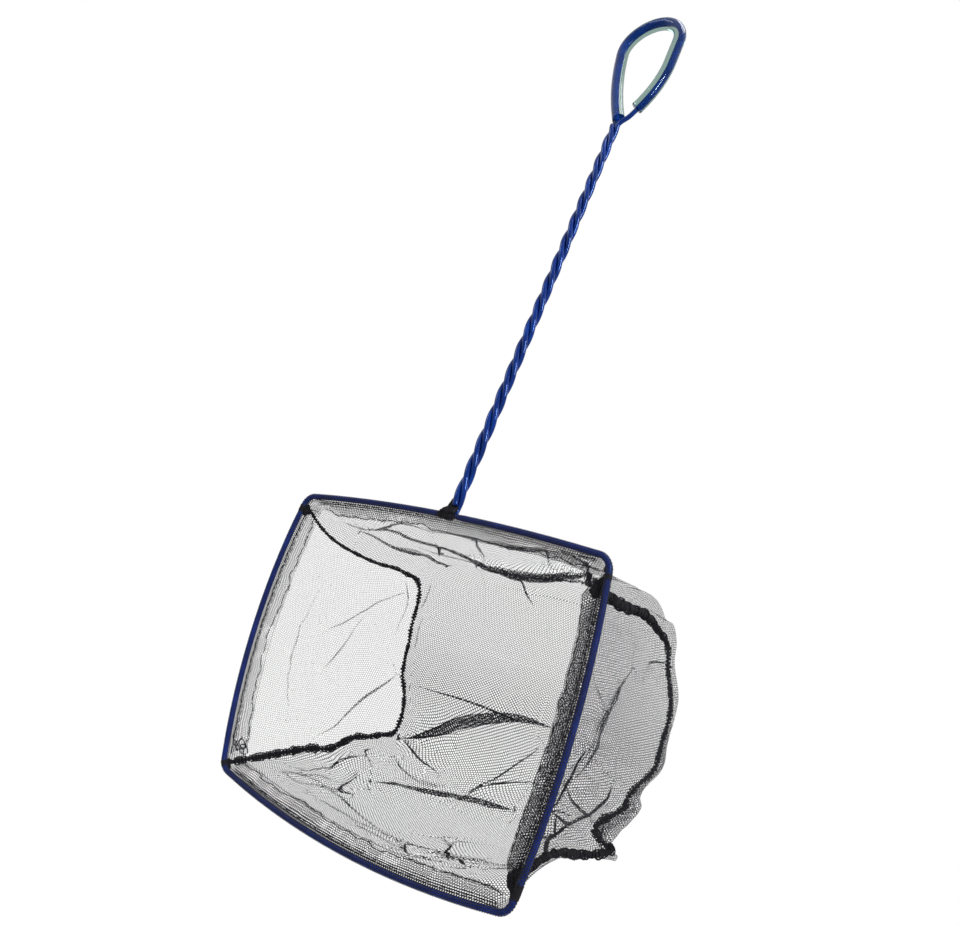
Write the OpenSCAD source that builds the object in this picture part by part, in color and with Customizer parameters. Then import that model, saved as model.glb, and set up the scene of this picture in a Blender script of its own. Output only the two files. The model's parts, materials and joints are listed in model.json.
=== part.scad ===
// Aquarium fish net: a coated wire bent into a hoop, twisted into a three-strand handle and closed in a
// finger loop, with a sewn mesh bag. X runs along the hoop's width, Z up its height, Y back into the bag.
// The origin is where a hook bears, on the underside of the sleeve at the top of the finger loop.

/* [Wire] */
// Diameter of the coated wire
wire_d = 3; // [2:0.1:4]
// Loss of diameter in the tight bends
bend_thinning = 0.04; // [0.02:0.01:0.1]

/* [Hoop] */
// Width of the top side between wire centres
hoop_top_w = 203; // [150:1:260]
// Width that the bottom side has less than the top side
hoop_taper_w = 8; // [0:0.5:30]
// Height between wire centres
hoop_h = 157; // [120:1:220]
// Outward bow of the top side
top_bow = 4.6; // [2:0.1:15]
// Outward bow of the left side
left_bow = 9.8; // [2:0.1:15]
// Outward bow of the right side
right_bow = 5.4; // [2:0.1:15]
// Outward bow of the bottom side
bottom_bow = 9.4; // [2:0.1:15]
// Bend radius of the four corners
corner_r = 8; // [5:0.5:20]

/* [Handle] */
// Length of the handle from the hoop to the foot of the finger loop
handle_len = 266; // [150:1:400]
// Distance from the middle of the hoop's top side to the handle
handle_offset = 6; // [-20:0.5:20]
// Lean of the handle back towards the bag, in degrees
handle_lean = 9.2; // [0:0.1:30]
// Length in which a strand goes once round the handle
twist_pitch = 43; // [30:0.5:70]
// Free gap between neighbouring strands
strand_gap = 0.12; // [0.05:0.01:0.3]
// Radius of the bends from the hoop into the handle
foot_bend_r = 5; // [4:0.5:8]
// Height of the free strand's cut end above the hoop
free_end_lift = 5.5; // [4.5:0.1:12]

/* [Finger loop] */
// Height of the loop above the handle's top
loop_len = 83; // [60:1:120]
// Radius of the loop's round top
loop_r = 20.8; // [15:0.1:30]
// Sideways offset of the loop's top from the handle
loop_offset = 4.3; // [-10:0.1:10]
// Radius of the long curve of the left leg
left_leg_r = 105; // [80:1:200]
// Length of the straight run of the right leg
right_leg_len = 36; // [20:0.5:50]
// Radius of the bend at the foot of the right leg
right_foot_r = 16; // [8:0.5:30]
// Length of the bare wire below the right leg
bare_len = 12; // [6:0.5:20]

/* [Sleeve] */
// Outside diameter of the sleeve
sleeve_od = 6.6; // [5:0.1:9]
// Wall of the sleeve
sleeve_wall = 0.8; // [0.5:0.05:1.2]
// Free gap between the wire and the outer wall of the sleeve
sleeve_gap = 0.3; // [0.1:0.05:0.6]

/* [Hem] */
// Length of the hem from the wire's middle to its free edge
hem_depth = 10.5; // [6:0.5:14]
// Lean of the hem inward from straight back, in degrees
hem_lean = 50; // [30:1:60]
// The same lean on the right side
right_hem_lean = 68; // [30:1:75]
// Thickness of the doubled mesh
hem_t = 0.6; // [0.4:0.1:1.2]
// Length that a hem stops short of the round corners
hem_end_cut = 2; // [0.5:0.5:6]
// Free gap between the wire and the mesh round it
hem_gap = 0.1; // [0.05:0.05:0.4]
// Wall of the mesh round the wire
hem_wall = 0.3; // [0.2:0.05:0.8]
// Width of the sewn tack at each corner
tack_w = 3.4; // [2:0.1:6]
// Wall of the tack round the wire
tack_wall = 0.9; // [0.4:0.1:1.5]

/* [Bag] */
// Depth of the bag at the seams
bag_depth = 108; // [60:1:150]
// Inset of the upper seam corners from the hoop's corners
upper_inset_w = 11.5; // [0:0.5:40]
// Drop of the upper seam corners below the hoop's corners
upper_inset_h = 23.5; // [10:0.5:40]
// Inset of the lower left seam corner from the hoop's corner
left_inset_w = 27.5; // [0:0.5:40]
// Rise of the lower left seam corner above the hoop's corner
left_inset_h = 37.5; // [10:0.5:45]
// Inset of the lower right seam corner from the hoop's corner
right_inset_w = 15.5; // [0:0.5:40]
// Rise of the lower right seam corner above the hoop's corner
right_inset_h = 20.5; // [10:0.5:45]
// Bulge of the centre panel out past the seams
panel_bulge = 17; // [2:1:30]
// Downward sag of the seams between the top corners and the floor
upper_leg_sag = 11; // [0:0.5:20]
// Upward sag of the right seam between the floor and the bottom corner
lower_leg_sag = 9; // [0:0.5:20]
// Outward sag of the end panels
end_sag = 8; // [1:0.5:20]
// Outward bow of the left seam along the floor
left_floor_bow = 5; // [0:0.5:20]
// Outward bow of the right seam along the floor
right_floor_bow = 12; // [0:0.5:20]
// Length before and after a corner in which a seam turns it
seam_turn = 12; // [6:1:20]
// Thickness of the mesh panels
mesh_t = 0.6; // [0.4:0.1:1.2]
// Thickness of the overlocked seams
seam_d = 3.6; // [2:0.1:6]
// Free gap between sewn pieces
sewn_gap = 0.3; // [0.2:0.05:0.6]
// Free gap between the centre panel and the seams
centre_gap = 0.7; // [0.5:0.05:1]

/* [Hidden] */

// Facet settings: the arcs are true curves, and the swept strands and mesh panels are facets
circle_facets = 720;
profile_facets = 32;
strand_sides = 8;
rings_per_turn = 15;
bend_rings = 8;
seam_sides = 6;
leg_steps = 12;
turn_steps = 4;
floor_steps = 14;
panel_cols = 12;

// Angles, in degrees
square_angle = 90;
right_leg_angle = -4;
right_foot_sweep = 44;
left_leg_start = 176;
left_leg_sweep = 32;
strand_spacing = 120;
left_strand_start = 180;

// Shares of the way round the centre panel in which it leaves the rim, and starts and ends a turn
rim_share = 0.12;
turn_start_share = 0.27;
turn_share = 0.15;
// A low power makes a curve rise soon and stay full
fullness_share = 0.3;
// Half the band between two openings of the mesh, as a share of a square
band_share = 0.12;

wire_r = wire_d / 2;
// Bezier handle of a quarter turn, as a share of its radius
quarter_turn_share = 1.657;

// Plane geometry

function lerp(a, b, t) = a + (b - a) * t;
function unit(v) = v / norm(v);
function turn_left(v) = [-v[1], v[0]];
function polar(r, a) = [r * cos(a), r * sin(a)];
function bearing(from, to) = let (d = to - from, a = atan2(d[1], d[0])) a < 0 ? a + 360 : a;

// A circle through p and q that bows out to the right of the way from p to q: [centre, radius]
function bow_circle(p, q, bow) =
    let (chord = norm(q - p), r = (chord * chord / 4 + bow * bow) / (2 * bow))
    [(p + q) / 2 + turn_left(unit(q - p)) * (r - bow), r];

// The centre of a round of radius r inside two circles, near their corner
function round_centre(c1, c2, corner, r) =
    let (
        r1 = c1[1] - r,
        r2 = c2[1] - r,
        d = norm(c2[0] - c1[0]),
        u = unit(c2[0] - c1[0]),
        a = (r1 * r1 - r2 * r2 + d * d) / (2 * d),
        foot = c1[0] + u * a,
        side = turn_left(u) * sqrt(r1 * r1 - a * a)
    )
    norm(foot + side - corner) < norm(foot - side - corner) ? foot + side : foot - side;

// An arc is [centre, radius, start angle, end angle], and runs anticlockwise
function arc(centre, r, a0, a1) = [centre, r, a0, a1 < a0 ? a1 + 360 : a1];
function arc_point(arc, a) = arc[0] + polar(arc[1], a);
function arc_start(arc) = arc_point(arc, arc[2]);
function arc_middle(arc) = arc_point(arc, (arc[2] + arc[3]) / 2);
function arc_end(arc) = arc_point(arc, arc[3]);
// The arc without a length at its start and a length at its end
function trimmed(arc, start_cut, end_cut) =
    let (per_length = 360 / (2 * PI * arc[1]))
    [arc[0], arc[1], arc[2] + start_cut * per_length, arc[3] - end_cut * per_length];

// The hoop: left, bottom, right and top sides, anticlockwise, and the corner that ends each of them

hoop_low_w = hoop_top_w - hoop_taper_w;
hoop_corners = [
    [-hoop_top_w / 2, hoop_h / 2], [-hoop_low_w / 2, -hoop_h / 2],
    [hoop_low_w / 2, -hoop_h / 2], [hoop_top_w / 2, hoop_h / 2],
];
hoop_bows = [left_bow, bottom_bow, right_bow, top_bow];
hoop_circles = [for (i = [0:3]) bow_circle(hoop_corners[i], hoop_corners[(i + 1) % 4], hoop_bows[i])];
round_centres = [
    for (i = [0:3]) round_centre(hoop_circles[i], hoop_circles[(i + 1) % 4], hoop_corners[(i + 1) % 4], corner_r)
];
side_arcs = [
    for (i = [0:3])
        let (o = hoop_circles[i][0])
        arc(o, hoop_circles[i][1], bearing(o, round_centres[(i + 3) % 4]), bearing(o, round_centres[i]))
];
corner_arcs = [
    for (i = [0:3])
        let (f = round_centres[i])
        arc(f, corner_r, bearing(hoop_circles[i][0], f), bearing(hoop_circles[(i + 1) % 4][0], f))
];
left_side = side_arcs[0];
bottom_side = side_arcs[1];
right_side = side_arcs[2];
top_side = side_arcs[3];
bottom_left_corner = corner_arcs[0];
bottom_right_corner = corner_arcs[1];
top_right_corner = corner_arcs[2];
top_left_corner = corner_arcs[3];

// The top side stops at both feet of the handle
function top_angle(x) = acos((x - top_side[0][0]) / top_side[1]);
left_foot_angle = top_angle(handle_offset - foot_bend_r);
right_foot_angle = top_angle(handle_offset + foot_bend_r);
top_left_part = [top_side[0], top_side[1], left_foot_angle, top_side[3]];
top_right_part = [top_side[0], top_side[1], top_side[2], right_foot_angle];

// The handle's own frame: across X, back, and up along the handle

handle_base = arc_point(top_side, top_angle(handle_offset));
handle_up = [0, sin(handle_lean), cos(handle_lean)];
handle_back = [0, cos(handle_lean), -sin(handle_lean)];
function on_handle(across, back, up) =
    [handle_base[0] + across, 0, handle_base[1]] + handle_back * back + handle_up * up;

// Three strands touch when their centres are this far from the axis, and their slant takes a little more
touch_r = (wire_d + strand_gap) / sqrt(3);
helix_r = touch_r / sqrt(1 - pow(PI * touch_r / twist_pitch, 2));
twist_start = foot_bend_r;
twist_end = handle_len - wire_d;
twist_len = twist_end - twist_start;
// Whole lobes less the one that turns the returning strand to the loop's right leg
twist_turns = round(twist_len / twist_pitch) - 1 / 6;

function strand_angle(first, up) = first - 360 * twist_turns * (up - twist_start) / twist_len;
function strand_point(first, up) =
    let (a = strand_angle(first, up)) on_handle(helix_r * cos(a), helix_r * sin(a), up);
function strand_way(first, up) = unit(strand_point(first, up + wire_r) - strand_point(first, up - wire_r));
function strand_run(first, from, to) =
    let (n = ceil((to - from) / twist_len * twist_turns * rings_per_turn))
    [for (i = [0:n]) strand_point(first, lerp(from, to, i / n))];

// A smooth bend that leaves p along way_p and arrives at q along way_q, without its last point
function bend(p, way_p, q, way_q, r) =
    let (pull = quarter_turn_share * r)
    [
        for (i = [0:bend_rings - 1])
            let (t = i / bend_rings, t2 = t * t, t3 = t2 * t)
            p * (2 * t3 - 3 * t2 + 1) + way_p * pull * (t3 - 2 * t2 + t)
                + q * (3 * t2 - 2 * t3) + way_q * pull * (t3 - t2)
    ];

// The finger loop, in the plane of X and the handle

loop_centre = [loop_offset, handle_len + loop_len - loop_r];
top_arc = arc(loop_centre, loop_r, right_leg_angle, left_leg_start);
leg_top = arc_start(top_arc);
leg_foot = leg_top - polar(right_leg_len, right_leg_angle + square_angle);
right_foot_arc = arc(
    leg_foot - polar(right_foot_r, right_leg_angle), right_foot_r,
    right_leg_angle - right_foot_sweep, right_leg_angle
);
left_leg_arc = arc(
    arc_end(top_arc) - polar(left_leg_r, left_leg_start), left_leg_r,
    left_leg_start, left_leg_start + left_leg_sweep
);
bare_way = right_leg_angle - right_foot_sweep + square_angle;
bare_top = arc_start(right_foot_arc);
bare_foot = bare_top - polar(bare_len, bare_way);
loop_left_end = arc_end(left_leg_arc);
loop_left_way = left_leg_start + left_leg_sweep - square_angle;
function in_loop_plane(p) = on_handle(p[0], 0, p[1]);
function loop_way(a) = [cos(a), 0, 0] + handle_up * sin(a);

// The wire lies against the sleeve's outer wall
sleeve_shift = sleeve_od / 2 - sleeve_wall - wire_r - sleeve_gap;
hook_point = in_loop_plane([loop_offset, handle_len + loop_len - sleeve_shift - sleeve_od / 2]);

// The bag's seams, from the tack at the top corner round the floor to the tack at the bottom corner

// How far back a hem that leans reaches
function hem_back(lean) = hem_depth * cos(lean) + hem_t / 2 * sin(lean);
tack_depth = hem_back(hem_lean);
rim_depth = tack_depth + 2 * sewn_gap;
function at_depth(p, depth) = [p[0], depth, p[1]];
function curve(a, b, c, t) = lerp(lerp(a, b, t), lerp(b, c, t), t);
function hump(t) = 4 * t * (1 - t);
// From 0 to 0 with its top of 1 at a third of the way
function early_hump(t) = 27 / 4 * t * (1 - t) * (1 - t);
function step(t) = let (c = max(0, min(1, t))) c * c * (3 - 2 * c);
function seam_line(top, upper, lower, low, bow, low_sag) =
    let (
        a = upper - unit(upper - top) * seam_turn,
        b = upper + unit(lower - upper) * seam_turn,
        c = lower - unit(lower - upper) * seam_turn,
        d = lower + unit(low - lower) * seam_turn
    )
    [
        for (i = [0:leg_steps - 1])
            let (t = i / leg_steps) lerp(top, a, t) - [0, 0, upper_leg_sag * early_hump(t)],
        for (i = [0:turn_steps]) curve(a, upper, b, i / turn_steps),
        for (i = [1:floor_steps - 1])
            let (t = i / floor_steps) lerp(b, c, t) + [bow * hump(t) * hump(t), 0, 0],
        for (i = [0:turn_steps]) curve(c, lower, d, i / turn_steps),
        for (i = [1:leg_steps])
            let (t = i / leg_steps) lerp(d, low, t) + [0, 0, low_sag * early_hump(1 - t)],
    ];
left_line = seam_line(
    at_depth(arc_middle(top_left_corner), rim_depth),
    at_depth(hoop_corners[0] + [upper_inset_w, -upper_inset_h], bag_depth),
    at_depth(hoop_corners[1] + [left_inset_w, left_inset_h], bag_depth),
    at_depth(arc_middle(bottom_left_corner), rim_depth),
    -left_floor_bow, 0
);
right_line = seam_line(
    at_depth(arc_middle(top_right_corner), rim_depth),
    at_depth(hoop_corners[3] + [-upper_inset_w, -upper_inset_h], bag_depth),
    at_depth(hoop_corners[2] + [-right_inset_w, right_inset_h], bag_depth),
    at_depth(arc_middle(bottom_right_corner), rim_depth),
    right_floor_bow, lower_leg_sag
);
panel_rows = len(left_line) - 1;
end_rows = leg_steps + turn_steps / 2;
end_cols = panel_rows - 2 * end_rows;
// The point at a share u of the steps of a line
function along(line, u) =
    let (k = u * (len(line) - 1), i = min(floor(k), len(line) - 2)) lerp(line[i], line[i + 1], k - i);

// The rim of a panel, behind a side's leaning hem, from the seam point p to the seam point q
function rim_point(p, q, side, lean, v) =
    let (
        middle = [p[0] + q[0], p[2] + q[2]] / 2,
        out = unit(middle - side[0]),
        sag = side[1] - norm(middle - side[0]),
        shift = [-hem_depth * sin(lean) * out[0], hem_back(lean) - tack_depth, -hem_depth * sin(lean) * out[1]]
    )
    lerp(p, q, v) + at_depth(out, 0) * sag * hump(v) + shift * pow(hump(v), fullness_share);

// A surface from four edges, each a function of the share along it
function patch(edge_u0, edge_u1, edge_v0, edge_v1, u, v) =
    lerp(edge_u0(v), edge_u1(v), u) + lerp(edge_v0(u), edge_v1(u), v)
        - lerp(lerp(edge_u0(0), edge_u0(1), v), lerp(edge_u1(0), edge_u1(1), v), u);

// A panel's edge beside a seam: the seam's line, moved towards the panel's own points
function line_way(line, k) =
    k == 0 || k == len(line) - 1 ? [0, 1, 0] : unit(line[k + 1] - line[k - 1]);
function inside(line, towards, gap) = [
    for (k = [0:len(line) - 1])
        let (d = towards[k] - line[k], way = line_way(line, k))
        line[k] + unit(d - way * (d * way)) * (seam_d / 2 + gap)
];
function middle_of(line) = let (n = len(line)) [for (k = [1:n]) 1] * line / n;
function to_middle(line) = let (m = middle_of(line)) [for (p = line) m];
centre_left_edge = inside(left_line, right_line, centre_gap);
centre_right_edge = inside(right_line, left_line, centre_gap);
// The way out of the bag: up along the top, back along the floor and down along the bottom
rim_out_angle = 86;
function centre_out(u) =
    let (
        to_floor = step((u - turn_start_share) / turn_share),
        to_bottom = step((u - 1 + turn_start_share + turn_share) / turn_share),
        a = rim_out_angle * (1 - to_floor - to_bottom)
    )
    [0, cos(a), sin(a)];
function centre_bulge(u, v) =
    panel_bulge * step(u / rim_share) * step((1 - u) / rim_share) * pow(hump(v), fullness_share);
function centre_point(u, v) =
    patch(
        function(t) rim_point(centre_left_edge[0], centre_right_edge[0], top_side, hem_lean, t),
        function(t) rim_point(
            centre_left_edge[panel_rows], centre_right_edge[panel_rows], bottom_side, hem_lean, t
        ),
        function(t) along(centre_left_edge, t),
        function(t) along(centre_right_edge, t),
        u, v
    ) + centre_out(u) * centre_bulge(u, v);

function end_point(edge, side, lean, out, u, v) =
    patch(
        function(t) rim_point(edge[0], edge[panel_rows], side, lean, t),
        function(t) along(edge, (end_rows + end_cols * t) / panel_rows),
        function(t) along(edge, end_rows * t / panel_rows),
        function(t) along(edge, 1 - end_rows * t / panel_rows),
        u, v
    ) + out * end_sag * hump(u) * hump(v);

// Solids along lines and over grids of points

// A round tube along a line of points. The reference is never in line with the tube.
module tube(line, d, sides, reference, first_way, last_way) {
    last = len(line) - 1;
    function way(k) = k == 0 ? first_way : k == last ? last_way : unit(line[k + 1] - line[k - 1]);
    rings = [
        for (k = [0:last])
            let (across = unit(cross(reference, way(k))), up = cross(way(k), across))
            for (i = [0:sides - 1])
                let (a = 360 * i / sides) line[k] + (across * cos(a) + up * sin(a)) * d / 2
    ];
    walls = [
        for (k = [0:last - 1], i = [0:sides - 1])
            let (a = k * sides + i, b = k * sides + (i + 1) % sides)
            each [[a, a + sides, b + sides], [a, b + sides, b]]
    ];
    ends = [[for (i = [0:sides - 1]) i], [for (i = [sides - 1:-1:0]) last * sides + i]];
    polyhedron(rings, concat(walls, ends));
}

// A thin shell between two like grids of points, a list of rows each
module shell(front, back) {
    rows = len(front);
    cols = len(front[0]);
    count = rows * cols;
    points = [for (grid = [front, back]) for (row = grid) each row];
    function index(i, j) = i * cols + j;
    function quad(a, b, c, d) = [[a, b, c], [a, c, d]];
    sheets = [
        for (i = [0:rows - 2], j = [0:cols - 2])
            let (a = index(i, j), b = index(i, j + 1), c = index(i + 1, j + 1), d = index(i + 1, j))
            each concat(quad(a, b, c, d), quad(d + count, c + count, b + count, a + count))
    ];
    rim = concat(
        [for (j = [0:cols - 1]) index(0, j)],
        [for (i = [1:rows - 1]) index(i, cols - 1)],
        [for (j = [cols - 2:-1:0]) index(rows - 1, j)],
        [for (i = [rows - 2:-1:1]) index(i, 0)]
    );
    edges = [
        for (k = [0:len(rim) - 1])
            let (a = rim[k], b = rim[(k + 1) % len(rim)])
            each quad(b, a, a + count, b + count)
    ];
    polyhedron(points, concat(sheets, edges));
}

// The same with an opening in each square. The functions give a point of either side at shares u and v.
module open_shell(front, back, rows, cols) {
    corners = [for (i = [0:rows], j = [0:cols]) [i, j]];
    squares = [for (i = [0:rows - 1], j = [0:cols - 1]) [i, j]];
    low = band_share;
    high = 1 - band_share;
    opening = [[low, low], [low, high], [high, high], [high, low]];
    places = concat(corners, [for (q = squares, c = opening) q + c]);
    count = len(places);
    points = concat(
        [for (p = places) front(p[0] / rows, p[1] / cols)],
        [for (p = places) back(p[0] / rows, p[1] / cols)]
    );
    function corner(i, j) = i * (cols + 1) + j;
    function quad(a, b, c, d) = [[a, b, c], [a, c, d]];
    sheets = [
        for (q = squares)
            let (
                i = q[0],
                j = q[1],
                out = [corner(i, j), corner(i, j + 1), corner(i + 1, j + 1), corner(i + 1, j)],
                first = len(corners) + (i * cols + j) * len(opening)
            )
            for (k = [0:len(opening) - 1])
                let (n = (k + 1) % len(opening), a = out[k], b = out[n], c = first + n, d = first + k)
                each concat(
                    quad(a, b, c, d), quad(d + count, c + count, b + count, a + count),
                    quad(d, c, c + count, d + count)
                )
    ];
    rim = concat(
        [for (j = [0:cols]) corner(0, j)],
        [for (i = [1:rows]) corner(i, cols)],
        [for (j = [cols - 1:-1:0]) corner(rows, j)],
        [for (i = [rows - 1:-1:1]) corner(i, 0)]
    );
    edges = [
        for (k = [0:len(rim) - 1])
            let (a = rim[k], b = rim[(k + 1) % len(rim)])
            each quad(b, a, a + count, b + count)
    ];
    polyhedron(points, concat(sheets, edges));
}

// The whole net hangs from the origin
module placed() translate(-hook_point) children();
module in_hoop_plane() placed() rotate([square_angle, 0, 0]) children();
module in_loop_plane() placed() translate(at_depth(handle_base, 0)) rotate([square_angle - handle_lean, 0, 0]) children();

// A profile along an arc. Its x points away from the arc's centre, and its y to the front of the net.
module along_arc(a) {
    translate(a[0])
        rotate([0, 0, a[2]])
            rotate_extrude(angle = a[3] - a[2], $fn = circle_facets)
                translate([a[1], 0]) children();
}
// The same along a straight run that ends at a point
module along_run(end, way, length) {
    translate(end)
        rotate([square_angle, 0, way - square_angle])
            linear_extrude(length) children();
}

module wire_profile(d = wire_d) circle(d = d, $fn = profile_facets);
// A tight bend is a little thinner than the runs beside it, and reaches a little way into them
bend_lap = 3 * bend_thinning;
module wire_bend(a) along_arc(trimmed(a, -bend_lap, -bend_lap)) wire_profile(wire_d - bend_thinning);

// Mesh folded round the wire, with a doubled band that leans inward behind it
module fold_profile(wall, band, depth, lean) {
    fold_r = wire_r + hem_gap;
    difference() {
        union() {
            circle(fold_r + wall, $fn = profile_facets);
            rotate(-lean) translate([-band / 2, -depth]) square([band, depth]);
        }
        circle(fold_r, $fn = profile_facets);
    }
}

module hoop_wire() {
    color("navy") in_hoop_plane()
        union() {
            for (a = [top_left_part, left_side, bottom_side, right_side, top_right_part])
                along_arc(a) wire_profile();
            for (a = corner_arcs) wire_bend(a);
        }
}

// The foot of a strand on the hoop: its point, and its way towards the handle
left_foot = at_depth(arc_point(top_side, left_foot_angle), 0);
left_foot_way = at_depth(-turn_left(polar(1, left_foot_angle)), 0);
right_foot = at_depth(arc_point(top_side, right_foot_angle), 0);
right_foot_way = at_depth(turn_left(polar(1, right_foot_angle)), 0);
right_strand_start = left_strand_start - strand_spacing;
return_strand_start = right_strand_start - strand_spacing;

module strand(line, first_way, last_way) {
    placed() tube(line, wire_d, strand_sides, handle_back, first_way, last_way);
}

module handle_strand_left() {
    first = left_strand_start;
    line = concat(
        bend(left_foot, left_foot_way, strand_point(first, twist_start), strand_way(first, twist_start), foot_bend_r),
        strand_run(first, twist_start, twist_end)
    );
    color("mediumblue") strand(line, left_foot_way, strand_way(first, twist_end));
}

module handle_strand_right() {
    first = right_strand_start;
    top = in_loop_plane(loop_left_end);
    line = concat(
        bend(
            right_foot, right_foot_way, strand_point(first, twist_start), strand_way(first, twist_start), foot_bend_r
        ),
        strand_run(first, twist_start, twist_end - wire_r),
        bend(
            strand_point(first, twist_end), strand_way(first, twist_end), top, loop_way(loop_left_way),
            norm(top - strand_point(first, twist_end)) / quarter_turn_share
        ),
        [top]
    );
    color("mediumblue") strand(line, right_foot_way, loop_way(loop_left_way));
}

module handle_strand_return() {
    first = return_strand_start;
    top = in_loop_plane(bare_foot);
    line = concat(
        strand_run(first, free_end_lift, twist_end - wire_r),
        bend(
            strand_point(first, twist_end), strand_way(first, twist_end), top, loop_way(bare_way),
            norm(top - strand_point(first, twist_end)) / quarter_turn_share
        ),
        [top]
    );
    color("mediumblue") strand(line, strand_way(first, free_end_lift), loop_way(bare_way));
}

module loop_wire() {
    color("mediumblue") in_loop_plane() {
        along_run(bare_top, bare_way, bare_len) wire_profile();
        wire_bend(right_foot_arc);
        along_run(leg_top, right_leg_angle + square_angle, right_leg_len) wire_profile();
        wire_bend(top_arc);
        along_arc(left_leg_arc) wire_profile();
    }
}

module sleeve_profile(thinning = 0) {
    translate([-sleeve_shift, 0])
        difference() {
            circle(d = sleeve_od - thinning, $fn = profile_facets);
            circle(d = sleeve_od - 2 * sleeve_wall + thinning, $fn = profile_facets);
        }
}
module sleeve_bend(a, start_lap) along_arc(trimmed(a, -start_lap, -bend_lap)) sleeve_profile(bend_thinning);

module grip_sleeve() {
    color("lightseagreen", 0.5) in_loop_plane() {
        sleeve_bend(right_foot_arc, 0);
        along_run(leg_top, right_leg_angle + square_angle, right_leg_len) sleeve_profile();
        sleeve_bend(top_arc, bend_lap);
        along_arc(left_leg_arc) sleeve_profile();
    }
}

module centre_panel() {
    function side(offset) = function(u, v) centre_point(u, v) + centre_out(u) * offset;
    color("dimgray") placed() open_shell(side(-mesh_t / 2), side(mesh_t / 2), panel_rows / 2, panel_cols);
}

module end_panel(line, side, lean, out) {
    edge = inside(line, to_middle(line), sewn_gap);
    function grid(offset) = [
        for (i = [0:end_rows])
            [
                for (j = [0:end_cols])
                    end_point(edge, side, lean, out, i / end_rows, j / end_cols) + [offset, 0, 0]
            ]
    ];
    color("gray") placed() shell(grid(-mesh_t / 2), grid(mesh_t / 2));
}

module left_end_panel() end_panel(left_line, left_side, hem_lean, [-1, 0, 0]);
module right_end_panel() end_panel(right_line, right_side, right_hem_lean, [1, 0, 0]);

module seam(line) {
    color("black") placed()
        tube(line, seam_d, seam_sides, [1, 0, 0], [0, 1, 0], [0, -1, 0]);
}
module left_seam() seam(left_line);
module right_seam() seam(right_line);

module hem(a, lean) {
    color("black") in_hoop_plane()
        along_arc(trimmed(a, hem_end_cut, hem_end_cut)) fold_profile(hem_wall, hem_t, hem_depth, lean);
}
module top_hem() {
    hem(top_left_part, hem_lean);
    hem(top_right_part, hem_lean);
}
module left_hem() hem(left_side, hem_lean);
module right_hem() hem(right_side, right_hem_lean);
module bottom_hem() hem(bottom_side, hem_lean);

module tack(a) color("black") in_hoop_plane() along_arc(a) fold_profile(tack_wall, tack_w, tack_depth, 0);
module top_left_tack() tack(top_left_corner);
module top_right_tack() tack(top_right_corner);
module bottom_left_tack() tack(bottom_left_corner);
module bottom_right_tack() tack(bottom_right_corner);

hoop_wire();
handle_strand_left();
handle_strand_right();
handle_strand_return();
loop_wire();
grip_sleeve();
centre_panel();
left_end_panel();
right_end_panel();
left_seam();
right_seam();
top_hem();
left_hem();
right_hem();
bottom_hem();
top_left_tack();
top_right_tack();
bottom_left_tack();
bottom_right_tack();
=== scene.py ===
import math

import bpy
import numpy as np
from mathutils import Matrix, Vector
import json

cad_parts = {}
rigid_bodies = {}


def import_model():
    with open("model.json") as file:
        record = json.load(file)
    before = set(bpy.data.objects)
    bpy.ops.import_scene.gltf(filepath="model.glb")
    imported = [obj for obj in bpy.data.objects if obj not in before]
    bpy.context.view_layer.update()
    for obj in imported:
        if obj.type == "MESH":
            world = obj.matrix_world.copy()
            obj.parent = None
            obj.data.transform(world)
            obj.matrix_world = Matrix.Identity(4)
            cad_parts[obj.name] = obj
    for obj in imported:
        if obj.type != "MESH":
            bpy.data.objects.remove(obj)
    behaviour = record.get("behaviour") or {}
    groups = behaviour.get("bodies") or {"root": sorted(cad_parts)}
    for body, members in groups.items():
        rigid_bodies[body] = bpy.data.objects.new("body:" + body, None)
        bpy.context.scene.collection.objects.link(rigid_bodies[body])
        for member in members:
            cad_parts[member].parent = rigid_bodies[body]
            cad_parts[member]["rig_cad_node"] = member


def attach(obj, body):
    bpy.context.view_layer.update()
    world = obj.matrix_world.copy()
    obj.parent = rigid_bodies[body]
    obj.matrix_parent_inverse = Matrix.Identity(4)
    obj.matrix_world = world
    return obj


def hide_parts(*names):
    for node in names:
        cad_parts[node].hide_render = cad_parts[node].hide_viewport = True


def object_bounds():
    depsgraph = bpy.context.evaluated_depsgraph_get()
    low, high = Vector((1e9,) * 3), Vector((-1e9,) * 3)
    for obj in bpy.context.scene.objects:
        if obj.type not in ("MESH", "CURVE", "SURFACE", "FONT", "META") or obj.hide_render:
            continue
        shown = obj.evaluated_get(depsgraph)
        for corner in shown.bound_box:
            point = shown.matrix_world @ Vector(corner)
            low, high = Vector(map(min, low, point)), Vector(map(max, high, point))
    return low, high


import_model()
cad_box = [list(p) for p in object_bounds()]

# Lengths are in millimetres in the hoop's own frame, as in the part's source. to_frame turns them into
# metres in the part's frame.
MM = 0.001
HOOK = np.array([10.3, 55.159, 423.646])

WIRE_R = 1.5
HOOP_TOP_W, HOOP_LOW_W, HOOP_H = 203.0, 195.0, 157.0
BOWS = [9.8, 9.4, 5.4, 4.6]  # left, bottom, right, top
CORNER_R = 8.0
HANDLE_LEN, HANDLE_OFFSET, HANDLE_LEAN = 266.0, 6.0, 9.2
TWIST_PITCH, FOOT_R = 43.0, 5.0
BAG_DEPTH, HEM_DEPTH = 108.0, 11.2
HEM_LEANS = [52, 48, 86, 48]  # how far the hem leans inward from straight back: left, bottom, right, top
CORNER_LEAN, LEAN_RUN = 32, 16  # the lean at a corner, and how far from a side's end its full lean is reached


def to_frame(points):
    return (np.asarray(points, float) - HOOK) * MM


def unit(v):
    v = np.asarray(v, float)
    return v / np.linalg.norm(v)


def turn_left(v):
    return np.array([-v[1], v[0]])


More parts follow.
